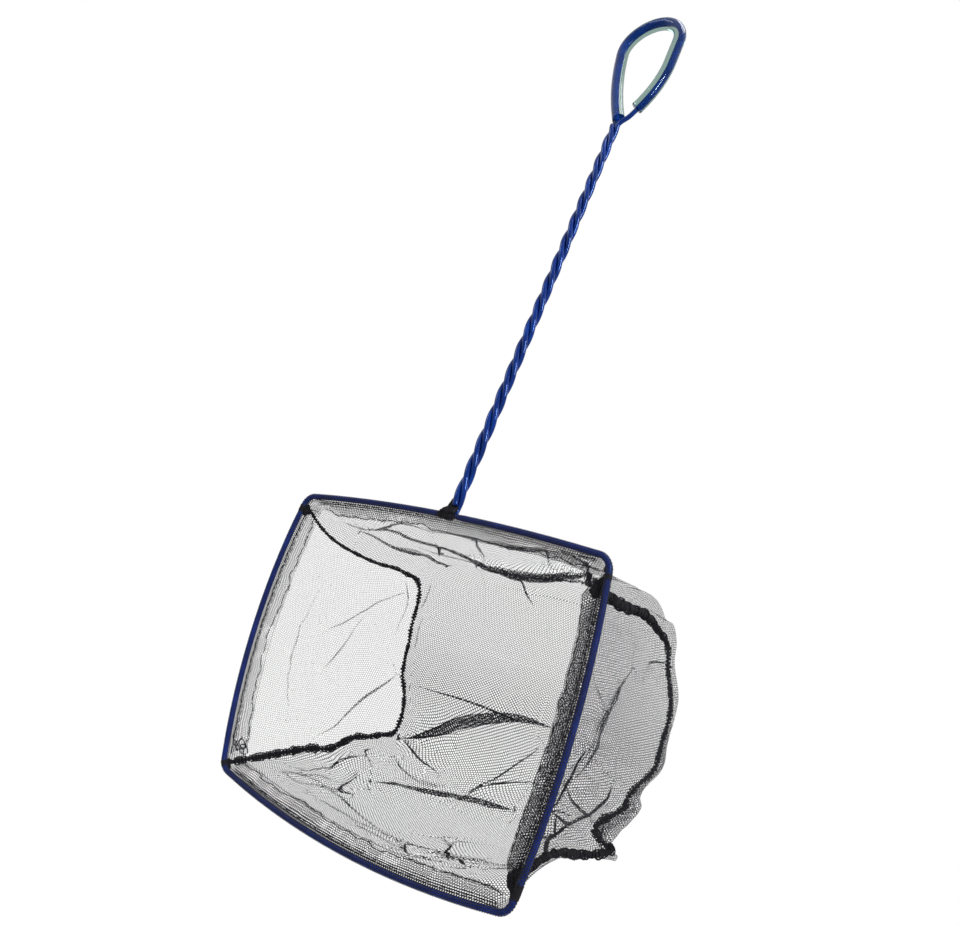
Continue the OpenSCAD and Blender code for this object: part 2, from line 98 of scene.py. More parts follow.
def polar(a):
    return np.array([math.cos(math.radians(a)), math.sin(math.radians(a))])


def hump(t):
    return 4 * t * (1 - t)


def smooth_step(x):
    x = np.clip(x, 0, 1)
    return x * x * (3 - 2 * x)


def wobble(x, seed, waves=((1.0, 1.0), (0.5, 2.3), (0.3, 5.1))):
    """A smooth uneven wave of x, about -1 to 1."""
    r = np.random.default_rng(seed)
    x = np.asarray(x, float)
    return sum(a * np.sin(f * x + r.uniform(0, 2 * math.pi)) for a, f in waves) / sum(a for a, _ in waves)


# ---- the hoop's line, anticlockwise from the top of the left side


def hoop_arcs():
    t, lo, h = HOOP_TOP_W / 2, HOOP_LOW_W / 2, HOOP_H / 2
    corners = [np.array(p) for p in ((-t, h), (-lo, -h), (lo, -h), (t, h))]
    circles = []
    for i in range(4):
        p, q, bow = corners[i], corners[(i + 1) % 4], BOWS[i]
        r = (np.dot(q - p, q - p) / 4 + bow * bow) / (2 * bow)
        circles.append(((p + q) / 2 + turn_left(unit(q - p)) * (r - bow), r))
    rounds = []
    for i in range(4):
        (c1, R1), (c2, R2), corner = circles[i], circles[(i + 1) % 4], corners[(i + 1) % 4]
        r1, r2 = R1 - CORNER_R, R2 - CORNER_R
        d, u = np.linalg.norm(c2 - c1), unit(c2 - c1)
        a = (r1 * r1 - r2 * r2 + d * d) / (2 * d)
        side = turn_left(u) * math.sqrt(r1 * r1 - a * a)
        rounds.append(min((c1 + u * a + side, c1 + u * a - side), key=lambda p: np.linalg.norm(p - corner)))

    def bearing(a, b):
        return math.degrees(math.atan2(*(b - a)[::-1])) % 360

    arcs = []
    for i in range(4):
        c, r = circles[i]
        a0, a1 = bearing(c, rounds[(i + 3) % 4]), bearing(c, rounds[i])
        arcs.append((c, r, a0, a1 + 360 if a1 < a0 else a1))
        f = rounds[i]
        b0, b1 = bearing(c, f), bearing(circles[(i + 1) % 4][0], f)
        arcs.append((f, CORNER_R, b0, b1 + 360 if b1 < b0 else b1))
    return arcs  # left, bottom left, bottom, bottom right, right, top right, top, top left


ARCS = hoop_arcs()
ARC_LENGTHS = [math.radians(a1 - a0) * r for _, r, a0, a1 in ARCS]
ARC_STARTS = np.concatenate([[0], np.cumsum(ARC_LENGTHS)])
HOOP_LENGTH = ARC_STARTS[-1]
LEFT, BOTTOM_LEFT, BOTTOM, BOTTOM_RIGHT, RIGHT, TOP_RIGHT, TOP, TOP_LEFT = range(8)


def on_hoop(length):
    """Points in the hoop's plane and the way out there, for lengths along the hoop."""
    length = np.asarray(length, float) % HOOP_LENGTH
    k = np.clip(np.searchsorted(ARC_STARTS, length, side="right") - 1, 0, 7)
    c = np.array([a[0] for a in ARCS])[k]
    r = np.array([a[1] for a in ARCS])[k]
    a = np.radians(np.array([a[2] for a in ARCS])[k]) + (length - ARC_STARTS[k]) / r
    out = np.stack([np.cos(a), np.sin(a)], -1)
    return c + out * r[..., None], out


def middle(k):
    return (ARC_STARTS[k] + ARC_STARTS[k + 1]) / 2


def lean_at(length):
    """How far the hem leans inward, in radians, at lengths along the hoop: least at the corners."""
    places, leans = [middle(TOP_LEFT) - HOOP_LENGTH], [CORNER_LEAN]
    for i in range(4):
        places += [ARC_STARTS[2 * i] + LEAN_RUN, ARC_STARTS[2 * i + 1] - LEAN_RUN, middle(2 * i + 1)]
        leans += [HEM_LEANS[i], HEM_LEANS[i], CORNER_LEAN]
    length = np.asarray(length, float)
    x = np.where(length > places[-1], length - HOOP_LENGTH, length)
    k = np.clip(np.searchsorted(places, x) - 1, 0, len(places) - 2)
    a, b = np.array(places)[k], np.array(places)[k + 1]
    la, lb = np.array(leans)[k], np.array(leans)[k + 1]
    return np.radians(la + (lb - la) * smooth_step((x - a) / (b - a)))


def hem_place(length, out_part, depth):
    """Points of the hem: beside the wire's middle by out_part and depth, both turned by the hem's lean."""
    p, out = on_hoop(length)
    lean = lean_at(length)
    x = out_part * np.cos(lean) - depth * np.sin(lean)
    y = out_part * np.sin(lean) + depth * np.cos(lean)
    return np.stack([p[..., 0] + out[..., 0] * x, y, p[..., 1] + out[..., 1] * x], -1)


def top_length(x):
    """The length along the hoop of the top side's point at x."""
    c, r, a0, _ = ARCS[TOP]
    return ARC_STARTS[TOP] + (math.acos((x - c[0]) / r) - math.radians(a0)) * r


# ---- meshes


def build_mesh(name, verts, quads=(), tris=()):
    """A mesh object in the part's frame from points in millimetres."""
    quads, tris = np.asarray(quads, np.int32).reshape(-1, 4), np.asarray(tris, np.int32).reshape(-1, 3)
    me = bpy.data.meshes.new(name)
    me.vertices.add(len(verts))
    me.vertices.foreach_set("co", to_frame(verts).astype(np.float32).ravel())
    loops = np.concatenate([quads.ravel(), tris.ravel()])
    me.loops.add(len(loops))
    me.loops.foreach_set("vertex_index", loops)
    starts = np.concatenate([np.arange(len(quads)) * 4, len(quads) * 4 + np.arange(len(tris)) * 3])
    me.polygons.add(len(starts))
    me.polygons.foreach_set("loop_start", starts.astype(np.int32))
    me.update(calc_edges=True)
    me.polygons.foreach_set("use_smooth", np.full(len(starts), True))
    me.validate()
    o = bpy.data.objects.new(name, me)
    bpy.context.scene.collection.objects.link(o)
    return o


def new_piece(name, mesh, material, nodes=()):
    """A piece of the part's only body from points, quads and triangles, in place of the CAD nodes named."""
    o = build_mesh(name, *mesh)
    o.data.materials.append(material)
    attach(o, "root")
    if nodes:
        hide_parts(*nodes)
    return o


def frames_along(line, ref):
    """Across and up directions along a line, turned as little as may be from a first reference."""
    way = np.gradient(line, axis=0)
    way /= np.linalg.norm(way, axis=1)[:, None]
    up = np.zeros_like(line)
    v = np.asarray(ref, float)
    for k in range(len(line)):
        v = v - way[k] * np.dot(v, way[k])
        v /= np.linalg.norm(v)
        up[k] = v
    return np.cross(way, up), up


def tube_mesh(line, radius, sides, ref=(0, 1, 0), squash=1.0, turn=0.0):
    """A closed tube round a line, whose radius and turn may change on the way: points, quads and
    triangles."""
    across, up = frames_along(line, ref)
    n, m = len(line), sides
    radius, turn = np.broadcast_to(radius, n), np.broadcast_to(turn, n)
    a = 2 * np.pi * np.arange(m) / m
    ca = np.cos(a)[None, :] * radius[:, None]
    sa = np.sin(a)[None, :] * radius[:, None] * squash
    ct, st = np.cos(turn)[:, None], np.sin(turn)[:, None]
    aside = across[:, None, :] * (ca * ct - sa * st)[..., None]
    above = up[:, None, :] * (ca * st + sa * ct)[..., None]
    rings = line[:, None, :] + aside + above
    i, j = np.meshgrid(np.arange(n - 1), np.arange(m), indexing="ij")
    a, b = i * m + j, i * m + (j + 1) % m
    quads = np.stack([a, a + m, b + m, b], -1).reshape(-1, 4)
    verts, tris = np.vstack([rings.reshape(-1, 3), rings[0].mean(0), rings[-1].mean(0)]), []
    for j in range(m):
        tris += [(n * m, j, (j + 1) % m), (n * m + 1, (n - 1) * m + (j + 1) % m, (n - 1) * m + j)]
    return verts, quads, np.array(tris)


def joined(parts):
    """One mesh from several."""
    starts = np.cumsum([0] + [len(v) for v, _, _ in parts[:-1]])
    return (
        np.vstack([v for v, _, _ in parts]), np.vstack([q + n for (_, q, _), n in zip(parts, starts)]),
        np.vstack([t + n for (_, _, t), n in zip(parts, starts)]),
    )


def resampled(line, step=None, count=None):
    line = np.asarray(line, float)
    s = np.concatenate([[0], np.cumsum(np.linalg.norm(np.diff(line, axis=0), axis=1))])
    n = count or max(2, int(round(s[-1] / step)) + 1)
    t = np.linspace(0, s[-1], n)
    return np.stack([np.interp(t, s, line[:, i]) for i in range(line.shape[1])], -1)


def spline(points, per=12):
    """A Catmull-Rom curve through points."""
    p = np.asarray(points, float)
    p = np.vstack([2 * p[0] - p[1], p, 2 * p[-1] - p[-2]])
    out = []
    for i in range(1, len(p) - 2):
        t = np.linspace(0, 1, per, endpoint=False)[:, None]
        a, b, c, d = p[i - 1], p[i], p[i + 1], p[i + 2]
        out.append(0.5 * (
            2 * b + (c - a) * t + (2 * a - 5 * b + 4 * c - d) * t**2 + (3 * b - a - 3 * c + d) * t**3
        ))
    return np.vstack(out + [p[-2:-1]])


# ---- materials


class Nodes:
    """Short calls for a material's nodes."""

    def __init__(self, name):
        self.material = bpy.data.materials.new(name)
        self.material.use_nodes = True
        self.tree = self.material.node_tree
        self.tree.nodes.clear()
        self.out = self.tree.nodes.new("ShaderNodeOutputMaterial")
        self.shader = self.tree.nodes.new("ShaderNodeBsdfPrincipled")
        self.link(self.shader.outputs[0], self.out.inputs["Surface"])
        self.coords = self.tree.nodes.new("ShaderNodeTexCoord").outputs["Object"]

    def link(self, a, b):
        self.tree.links.new(a, b)

    def set(self, **values):
        for name, value in values.items():
            socket = self.shader.inputs[name.replace("_", " ")]
            if isinstance(value, bpy.types.NodeSocket):
                self.link(value, socket)
            else:
                socket.default_value = value

    def noise(self, scale, detail=3.0, rough=0.5):
        n = self.tree.nodes.new("ShaderNodeTexNoise")
        n.inputs["Scale"].default_value = scale
        n.inputs["Detail"].default_value = detail
        n.inputs["Roughness"].default_value = rough
        self.link(self.coords, n.inputs["Vector"])
        return n.outputs["Fac"]

    def ramp(self, value, *stops):
        n = self.tree.nodes.new("ShaderNodeValToRGB")
        while len(n.color_ramp.elements) < len(stops):
            n.color_ramp.elements.new(0.5)
        for e, (place, colour) in zip(n.color_ramp.elements, stops):
            e.position, e.color = place, (*colour, 1.0) if len(colour) == 3 else colour
        self.link(value, n.inputs["Fac"])
        return n.outputs["Color"]

    def span(self, value, low, high, from_low=0.0, from_high=1.0):
        n = self.tree.nodes.new("ShaderNodeMapRange")
        for name, v in (("From Min", from_low), ("From Max", from_high), ("To Min", low), ("To Max", high)):
            n.inputs[name].default_value = v
        self.link(value, n.inputs["Value"])
        return n.outputs["Result"]

    def bump(self, height, distance, strength=1.0):
        n = self.tree.nodes.new("ShaderNodeBump")
        n.inputs["Distance"].default_value = distance
        n.inputs["Strength"].default_value = strength
        self.link(height, n.inputs["Height"])
        self.link(n.outputs["Normal"], self.shader.inputs["Normal"])


def coated_wire(name, dark, blue, light, gloss):
    m = Nodes(name)
    colour = m.ramp(m.noise(scale=90, detail=4, rough=0.6), (0.3, dark), (0.55, blue), (0.8, light))
    m.set(
        Base_Color=colour, Roughness=m.span(m.noise(scale=260), 0.05, 0.12), IOR=1.46,
        Specular_IOR_Level=gloss, Specular_Tint=(0.25, 0.45, 1.0, 1.0),
    )
    m.bump(m.noise(scale=260, detail=2), distance=0.0002, strength=0.2)
    return m.material


def matt_thread(name, grain, dark, light, roughs, gloss, fuzz):
    """Matt black thread. Its grain is a scale and detail, its roughs are a scale and the least and the most,
    and its fuzz is a scale, height and strength."""
    m = Nodes(name)
    colour = m.ramp(m.noise(*grain), dark, light)
    m.set(Base_Color=colour, Roughness=m.span(m.noise(roughs[0], 2), *roughs[1:]), Specular_IOR_Level=gloss)
    m.bump(m.noise(fuzz[0], 2), *fuzz[1:])
    return m.material


def clear_sleeve():
    """Clear soft tube, with a painted dark reflection towards its outline that stands in for dark
    surroundings seen in its wall.
    """
    m = Nodes("clear_sleeve")
    # painted dark reflection: the facing weight darkens the tube's tint towards its outline
    rim = m.tree.nodes.new("ShaderNodeLayerWeight")
    rim.inputs["Blend"].default_value = 0.5
    edge = m.span(rim.outputs["Facing"], 0.0, 1.0, from_low=0.35, from_high=0.95)
    speck = m.span(m.noise(scale=60), -0.08, 0.08)
    add = m.tree.nodes.new("ShaderNodeMath")
    m.link(edge, add.inputs[0])
    m.link(speck, add.inputs[1])
    # from the clear tint in the middle to the painted dark reflection at the outline, with random specks
    colour = m.ramp(
        add.outputs[0], (0.1, (0.24, 0.35, 0.31)), (0.6, (0.11, 0.21, 0.18)), (0.95, (0.01, 0.04, 0.06)),
    )
    m.set(
        Base_Color=colour, Roughness=m.span(m.noise(scale=180), 0.03, 0.1), IOR=1.5,
        Transmission_Weight=1.0, Specular_Tint=(0.12, 0.16, 0.2, 1.0),
    )
    m.bump(m.noise(scale=150), distance=0.0002, strength=0.2)
    return m.material


# each coated wire: the dark, middle and light blue of its coat, and its gloss
HOOP_BLUE, HANDLE_BLUE, LOOP_BLUE = [coated_wire(name, *blues, gloss) for name, blues, gloss in (
    ("hoop_blue", ((0.001, 0.009, 0.09), (0.002, 0.014, 0.14), (0.004, 0.030, 0.26)), 0.2),
    ("handle_blue", ((0.0002, 0.006, 0.055), (0.0004, 0.010, 0.09), (0.001, 0.022, 0.16)), 0.5),
    ("loop_blue", ((0.003, 0.04, 0.32), (0.005, 0.06, 0.44), (0.01, 0.09, 0.6)), 0.1),
)]
NET = matt_thread(
    "net_thread", (900, 2), (0.35, (0.004, 0.004, 0.006)), (0.7, (0.016, 0.016, 0.022)),
    roughs=(1500, 0.55, 0.8), gloss=0.15, fuzz=(5000, 0.00003, 0.4),
)
THREAD = matt_thread(
    "stitch_thread", (1400, 3), (0.3, (0.002, 0.002, 0.003)), (0.75, (0.012, 0.012, 0.016)),
    roughs=(2500, 0.6, 0.85), gloss=0.12, fuzz=(6000, 0.00005, 0.6),
)
CLEAR = clear_sleeve()

# ---- the bag's surfaces

# grid steps along a leg of a seam, along its floor part, across the centre panel and down it
LEG, BACK, ACROSS = 26, 26, 48
ROWS = 2 * LEG + BACK


def at_depth(p, depth):
    return np.array([p[0], depth, p[1]])


def early(t):
    """Rises soon from 0 to its top of 1 at a third, and falls slowly back to 0."""
    return 6.75 * t * (1 - t) ** 2


def seam_line(top, upper, lower, low, bow, upper_sag, lower_sag, turn=12.0):
    """A seam: back from its upper foot, along the bag's floor, and forward to its lower foot."""
    a, b = upper - unit(upper - top) * turn, upper + unit(lower - upper) * turn
    c, d = lower - unit(lower - upper) * turn, lower + unit(low - lower) * turn

    def curve(p, q, r, t):
        t = t[:, None]
        return (p + (q - p) * t) * (1 - t) + (q + (r - q) * t) * t

    half, whole, leg = np.linspace(0, 0.5, 12), np.linspace(0, 1, 40), np.linspace(0, 1, 60)
    leg1 = np.linspace(top, a, len(leg)) - np.outer(early(leg), [0, 0, upper_sag])
    leg1 = np.vstack([leg1[:-1], curve(a, upper, b, half)])
    floor = b + (c - b) * whole[:, None] + np.outer(hump(whole) ** 2, [bow, 0, 0])
    back = np.vstack([curve(a, upper, b, 0.5 + half)[:-1], floor, curve(c, lower, d, half)[1:]])
    leg2 = np.linspace(d, low, len(leg)) + np.outer(early(1 - leg), [0, 0, lower_sag])
    leg2 = np.vstack([curve(c, lower, d, 0.5 + half)[:-1], leg2])
    return np.vstack([
        resampled(leg1, count=LEG + 1)[:-1], resampled(back, count=BACK + 1)[:-1],
        resampled(leg2, count=LEG + 1),
    ])


CORNERS = {
    "tl": np.array([-HOOP_TOP_W / 2, HOOP_H / 2]), "bl": np.array([-HOOP_LOW_W / 2, -HOOP_H / 2]),
    "br": np.array([HOOP_LOW_W / 2, -HOOP_H / 2]), "tr": np.array([HOOP_TOP_W / 2, HOOP_H / 2]),
}


# where a seam leaves its tack: how far round the hoop from the corner's middle, and how deep in the hem
SEAM_FEET = {
    TOP_LEFT: (7.0, 5.5), BOTTOM_LEFT: (-1.5, 5.5), BOTTOM_RIGHT: (7.0, 7.5), TOP_RIGHT: (-13.5, 5.5),
}


def seam_length(k):
    return middle(k) + SEAM_FEET[k][0]


def seam_foot(k):
    return hem_place(np.array([seam_length(k)]), 0.0, SEAM_FEET[k][1])[0]


def kinked(line, kinks):
    """The line with smooth local shifts: each is a step along it, the steps it spans, and the shift."""
    k = np.arange(len(line))[:, None]
    for place, span, shift in kinks:
        line = line + np.exp(-((k - place) / span) ** 2) * np.array(shift)
    return line


LEFT_KINKS = (
    (17, 5, (0, 0, -2.5)), (23, 2, (1, 0, -2)), (37, 2, (1.6, 0, 0)), (43, 1.5, (-1.5, 0, 0)),
    (51.5, 2, (-1, 0, -4)), (60, 1.6, (0, 3, 2.5)), (64, 2, (2, 0, -2)),
)
RIGHT_KINKS = (
    (16, 6, (0, 0, 4.5)), (32, 5, (5, 4, 0)), (41, 2, (3, 0, 0)), (47.5, 1.2, (4, 0, 2)),
    (50.5, 1.8, (-2, -12, 2)), (53.7, 1.5, (6, 0, 3)), (56, 2.5, (6, 0, 2)),
)
left_line = kinked(seam_line(
    seam_foot(TOP_LEFT), at_depth(CORNERS["tl"] + [11.5, -23.5], BAG_DEPTH),
    at_depth(CORNERS["bl"] + [27.5, 37.5], BAG_DEPTH), seam_foot(BOTTOM_LEFT),
    bow=-5, upper_sag=8, lower_sag=0,
), LEFT_KINKS)
right_line = kinked(seam_line(
    seam_foot(TOP_RIGHT), at_depth(CORNERS["tr"] + [-11.5, -23.5], BAG_DEPTH),
    at_depth(CORNERS["br"] + [-15.5, 20.5], BAG_DEPTH), seam_foot(BOTTOM_RIGHT),
    bow=12, upper_sag=0, lower_sag=9,
), RIGHT_KINKS)
RIM_DEPTH, RIM_FADE = HEM_DEPTH - 0.8, 12


def rim(k_from, k_to, p, q, n):
    """A panel's rim behind the hoop from the seam point p to the seam point q."""
    line = hem_place(np.linspace(k_from, k_to, n), 0.0, RIM_DEPTH)
    t = np.linspace(0, 1, n)[:, None]
    return line + (p - line[0]) * (1 - t) ** RIM_FADE + (q - line[-1]) * t**RIM_FADE


def coons(u0, u1, v0, v1):
    """A grid from four edges: u0 and u1 run along v, v0 and v1 along u."""
    n, m = len(v0), len(u0)
    u, v = np.linspace(0, 1, n)[:, None, None], np.linspace(0, 1, m)[None, :, None]
    return (
        u0[None] * (1 - u) + u1[None] * u + v0[:, None] * (1 - v) + v1[:, None] * v
        - (u0[0] * (1 - u) * (1 - v) + u0[-1] * (1 - u) * v + u1[0] * u * (1 - v) + u1[-1] * u * v)
    )


# The bag sags out from a straight grid. The place down it is u and the place across it is v, both 0 to 1.
SAG_WAYS = ([0, 0.27, 0.4, 0.6, 0.73, 1], [88, 80, 8, -8, -80, -88])  # at u: degrees up from straight back
SAG_DEPTHS = ([0.3, 0.42, 0.6, 0.75], [18, 17, 15, 13])  # at u
SAG_START = 0.12  # the share of u beside each rim over which the sag sets in
SAG_POWER, SAG_TIGHT = 0.27, 1.0  # how square it is across, and how much rounder at the right seam's legs
END_BULGE = 6.0
# A flap of netting hangs past the right seam's notch: its middle row and the rows it spans, the row where it
# ends and how soon, its reach in v, the share of v that the seam holds, and its shift.
FLAP_ROW, FLAP_ROWS, FLAP_END, FLAP_FADE = 50.0, 2.6, 53, 2.5
FLAP_REACH, FLAP_HELD, FLAP_SHIFT = 0.07, 0.03, [9.0, 2.0, 2.0]


def bag_grids():
    """The grids of the centre panel and of the left and right end panels."""
    top = rim(seam_length(TOP_LEFT), seam_length(TOP_RIGHT), left_line[0], right_line[0], ACROSS + 1)
    low = rim(seam_length(BOTTOM_LEFT), seam_length(BOTTOM_RIGHT), left_line[-1], right_line[-1], ACROSS + 1)
    centre = coons(top, low, left_line, right_line)
    u = np.linspace(0, 1, ROWS + 1)
    a = np.radians(np.interp(u, *SAG_WAYS))
    out = np.stack([0 * a, np.cos(a), np.sin(a)], -1)
    full = smooth_step(u / SAG_START) * smooth_step((1 - u) / SAG_START) * np.interp(u, *SAG_DEPTHS)
    v = np.linspace(0, 1, ACROSS + 1)[None]
    at_legs = smooth_step((0.6 - u) / 0.2) + smooth_step((u - 0.68) / 0.08)  # 1 where the seam's legs are
    tight = at_legs[:, None] * v**2
    sag = full[:, None] * hump(v) ** (SAG_POWER + SAG_TIGHT * tight)
    centre += out[:, None] * sag[..., None]
    row = np.arange(ROWS + 1)
    past = np.exp(-((row - FLAP_ROW) / FLAP_ROWS) ** 2) * smooth_step((FLAP_END - row) / FLAP_FADE)
    past = past[:, None] * np.exp(-((1 - v) / FLAP_REACH) ** 2) * smooth_step((1 - v) / FLAP_HELD)
    centre += past[..., None] * FLAP_SHIFT
    ends = []
    for line, k0, k1, way in (
        (left_line, seam_length(TOP_LEFT) - HOOP_LENGTH, seam_length(BOTTOM_LEFT), -1),
        (right_line, seam_length(TOP_RIGHT), seam_length(BOTTOM_RIGHT), 1),
    ):
        edge = rim(k0, k1, line[0], line[-1], BACK + 1)
        grid = coons(edge, line[LEG:LEG + BACK + 1], line[:LEG + 1], line[::-1][:LEG + 1])
        bulge = hump(np.linspace(0, 1, LEG + 1))[:, None] * hump(np.linspace(0, 1, BACK + 1))[None]
        grid[..., 0] += way * END_BULGE * bulge
        ends.append(grid)
    return centre, ends[0], ends[1]


CLOTH_PULL = (0, 1.6, -0.45)  # what draws the cloth back and down, in m/s2


def simulate(grids, slack, frames=30):
    """The panels as one cloth, held at its rim and its seams and drawn back and down."""
    verts, quads, pins, n = [], [], [], 0
    for g in grids:
        r, c = g.shape[:2]
        i, j = np.meshgrid(np.arange(r - 1), np.arange(c - 1), indexing="ij")
        a = n + i * c + j
        quads.append(np.stack([a, a + 1, a + c + 1, a + c], -1).reshape(-1, 4))
        edge = np.zeros((r, c), bool)
        edge[0], edge[:, 0], edge[:, -1], edge[-1] = True, True, True, True
        pins += list(n + np.flatnonzero(edge.ravel()))
        verts.append(g.reshape(-1, 3))
        n += r * c
    o = build_mesh("cloth_start", np.vstack(verts), np.vstack(quads))
    group = o.vertex_groups.new(name="held")
    group.add([int(k) for k in pins], 1.0, "REPLACE")
    scene = bpy.context.scene
    mod = o.modifiers.new("cloth", "CLOTH")
    c = mod.settings
    c.quality, c.mass, c.air_damping = 6, 0.02, 2.0
    c.tension_stiffness = c.compression_stiffness = 12
    c.shear_stiffness, c.bending_stiffness = 2.0, 0.03
    c.vertex_group_mass = "held"
    c.shrink_min = -slack
    mod.collision_settings.use_collision = False
    mod.collision_settings.use_self_collision = False
    mod.point_cache.frame_start, mod.point_cache.frame_end = 1, frames
    old = tuple(scene.gravity)
    scene.gravity = CLOTH_PULL
    for f in range(1, frames + 1):
        scene.frame_set(f)
    dg = bpy.context.evaluated_depsgraph_get()
    got = o.evaluated_get(dg).to_mesh()
    co = np.empty(len(got.vertices) * 3, np.float32)
    got.vertices.foreach_get("co", co)
    co = co.reshape(-1, 3).astype(float) / MM + HOOK
    scene.gravity = old
    scene.frame_set(1)
    bpy.data.objects.remove(o, do_unlink=True)
    result, n = [], 0
    for g in grids:
        k = g.shape[0] * g.shape[1]
        result.append(co[n:n + k].reshape(g.shape))
        n += k
    return result


def evened(grid):
    """The grid with its points spread evenly by length, down it and then across it."""
    grid = np.stack([resampled(grid[:, j], count=len(grid)) for j in range(grid.shape[1])], 1)
    return np.stack([resampled(row, count=len(row)) for row in grid])


grids = bag_grids()
grids = simulate(grids, slack=0.018)
grids = [evened(g) for g in grids]


class Surface:
    """A grid that is read at any place in millimetres along it (s) and across it from its middle (t)."""

    def __init__(self, grid):
        self.grid = grid
        self.rows, self.cols = grid.shape[:2]
        steps = np.linalg.norm(np.diff(grid, axis=0), axis=2).mean(1)
        self.s = np.concatenate([[0], np.cumsum(steps)])
        self.width = np.linalg.norm(np.diff(grid, axis=1), axis=2).sum(1)
        du, dv = np.gradient(grid, axis=0), np.gradient(grid, axis=1)
        n = np.cross(du, dv)
        self.normal = n / np.maximum(np.linalg.norm(n, axis=2), 1e-9)[..., None]

    def read(self, grid, u, v):
        """Catmull-Rom in both ways."""
        def weights(f):
            return (
                0.5 * (-f + 2 * f**2 - f**3), 0.5 * (2 - 5 * f**2 + 3 * f**3),
                0.5 * (f + 4 * f**2 - 3 * f**3), 0.5 * (-(f**2) + f**3),
            )
        u, v = np.clip(u, 0, self.rows - 1), np.clip(v, 0, self.cols - 1)
        i, j = np.minimum(u.astype(int), self.rows - 2), np.minimum(v.astype(int), self.cols - 2)
        wu, wv = weights(u - i), weights(v - j)
        out = 0
        for a in range(4):
            ii = np.clip(i + a - 1, 0, self.rows - 1)
            for b in range(4):
                jj = np.clip(j + b - 1, 0, self.cols - 1)
                out = out + grid[ii, jj] * (wu[a] * wv[b])[:, None]
        return out

    def at(self, s, t, lift=0.0):
        u = np.interp(s, self.s, np.arange(self.rows))
        w = np.interp(s, self.s, self.width)
        v = (0.5 + t / w) * (self.cols - 1)
        lift = np.broadcast_to(lift, len(u))[:, None]
        return self.read(self.grid, u, v) + self.read(self.normal, u, v) * lift

    def inside(self, s, t):
        return (s >= 0) & (s <= self.s[-1]) & (np.abs(t) <= np.interp(s, self.s, self.width) / 2)


def hex_net(length, width, pitch, thread):
    """Flat knotless netting over 0..length by -width/2..width/2: its points, six a cell, quads and triangles.
    thread() gives the thread's width at points."""
    edge = pitch / math.sqrt(3)
    rows, cols = int(width / (1.5 * edge)) + 3, int(length / pitch) + 3
    j, i = np.meshgrid(np.arange(rows), np.arange(cols), indexing="ij")
    x = (i + 0.5 * (j % 2)) * pitch - pitch
    y = j * 1.5 * edge - width / 2 - edge
    base = np.stack([x, y], -1).reshape(-1, 2)

    def corners(centres, angles):
        r = thread(centres)[:, None] / math.sqrt(3)
        return np.stack([centres + r * polar(a) for a in angles], 1)

    pts = np.concatenate([corners(base, (30, 150, 270)), corners(base + [0, edge], (330, 90, 210))], 1)
    up = (j * cols + i) * 6
    # the joint above of the row below, to its left and right
    below = (j - 1) * cols + i + np.where(j % 2 == 1, 0, -1)
    left, right = below, below + 1
    ok = (j >= 1) & (i >= 1) & (i < cols - 1)
    quads = [np.stack([up, up + 3, up + 5, up + 1], -1).reshape(-1, 4)]
    a, l, q = up[ok], left[ok] * 6, right[ok] * 6
    quads.append(np.stack([a + 1, l + 4, l + 3, a + 2], -1))
    quads.append(np.stack([a + 2, q + 5, q + 4, a], -1))
    tris = np.concatenate([
        np.stack([up, up + 1, up + 2], -1).reshape(-1, 3),
        np.stack([up + 3, up + 4, up + 5], -1).reshape(-1, 3),
    ])
    return pts.reshape(-1, 2), np.vstack(quads), tris


def kept(keep, quads, tris):
    """Faces whose points are all kept, and the points renumbered."""
    quads, tris = quads[keep[quads].all(1)], tris[keep[tris].all(1)]
    used = np.zeros(len(keep), bool)
    used[quads.ravel()] = True
    used[tris.ravel()] = True
    new = np.cumsum(used) - 1
    return used, new[quads], new[tris]


FOLD_REACH, FOLD_LAYER = 11.0, 0.4  # how far beside a tuck its shift fades, and how far apart its layers lie
FOLD_GATHER = 0.9  # how much more thread a fold's gathered netting shows
FOLD_STEPS, FOLD_NEAR, FOLD_TAPER = 39, 30.0, 0.2  # its line's steps, its furthest reach, its ends' run-out
FINE_FOLD, INNER_TUCK = 2.0, 0.7  # up to this width a fold has an inner tuck, of this share of its width
SEWN = 9.0  # how far from its edges the netting is held in its place


def beside_fold(s, t, points, width, peak=0.5):
    """Which netting points are near a fold, and for these its line's way, the distance beside it and its
    half width there."""
    line = resampled(spline(points, 8), count=FOLD_STEPS + 1)
    way = np.gradient(line, axis=0)
    way /= np.linalg.norm(way, axis=1)[:, None]
    near = (s > line[:, 0].min() - FOLD_NEAR) & (s < line[:, 0].max() + FOLD_NEAR)
    near &= (t > line[:, 1].min() - FOLD_NEAR) & (t < line[:, 1].max() + FOLD_NEAR)
    p = np.stack([s[near], t[near]], -1)
    k = ((p[:, None, :] - line[None]) ** 2).sum(-1).argmin(1)
    e = way[k]
    d = p - line[k]
    b = e[:, 0] * d[:, 1] - e[:, 1] * d[:, 0]
    along = d[:, 0] * e[:, 0] + d[:, 1] * e[:, 1]
    a = np.clip(k / FOLD_STEPS + along * np.isin(k, (0, FOLD_STEPS)) * FOLD_TAPER, 0, 1)
    g = np.where(a < peak, a / peak, (1 - a) / (1 - peak))
    return near, e, b, np.maximum(width * np.clip(g * (2 - g), 0, 1), 0.02)


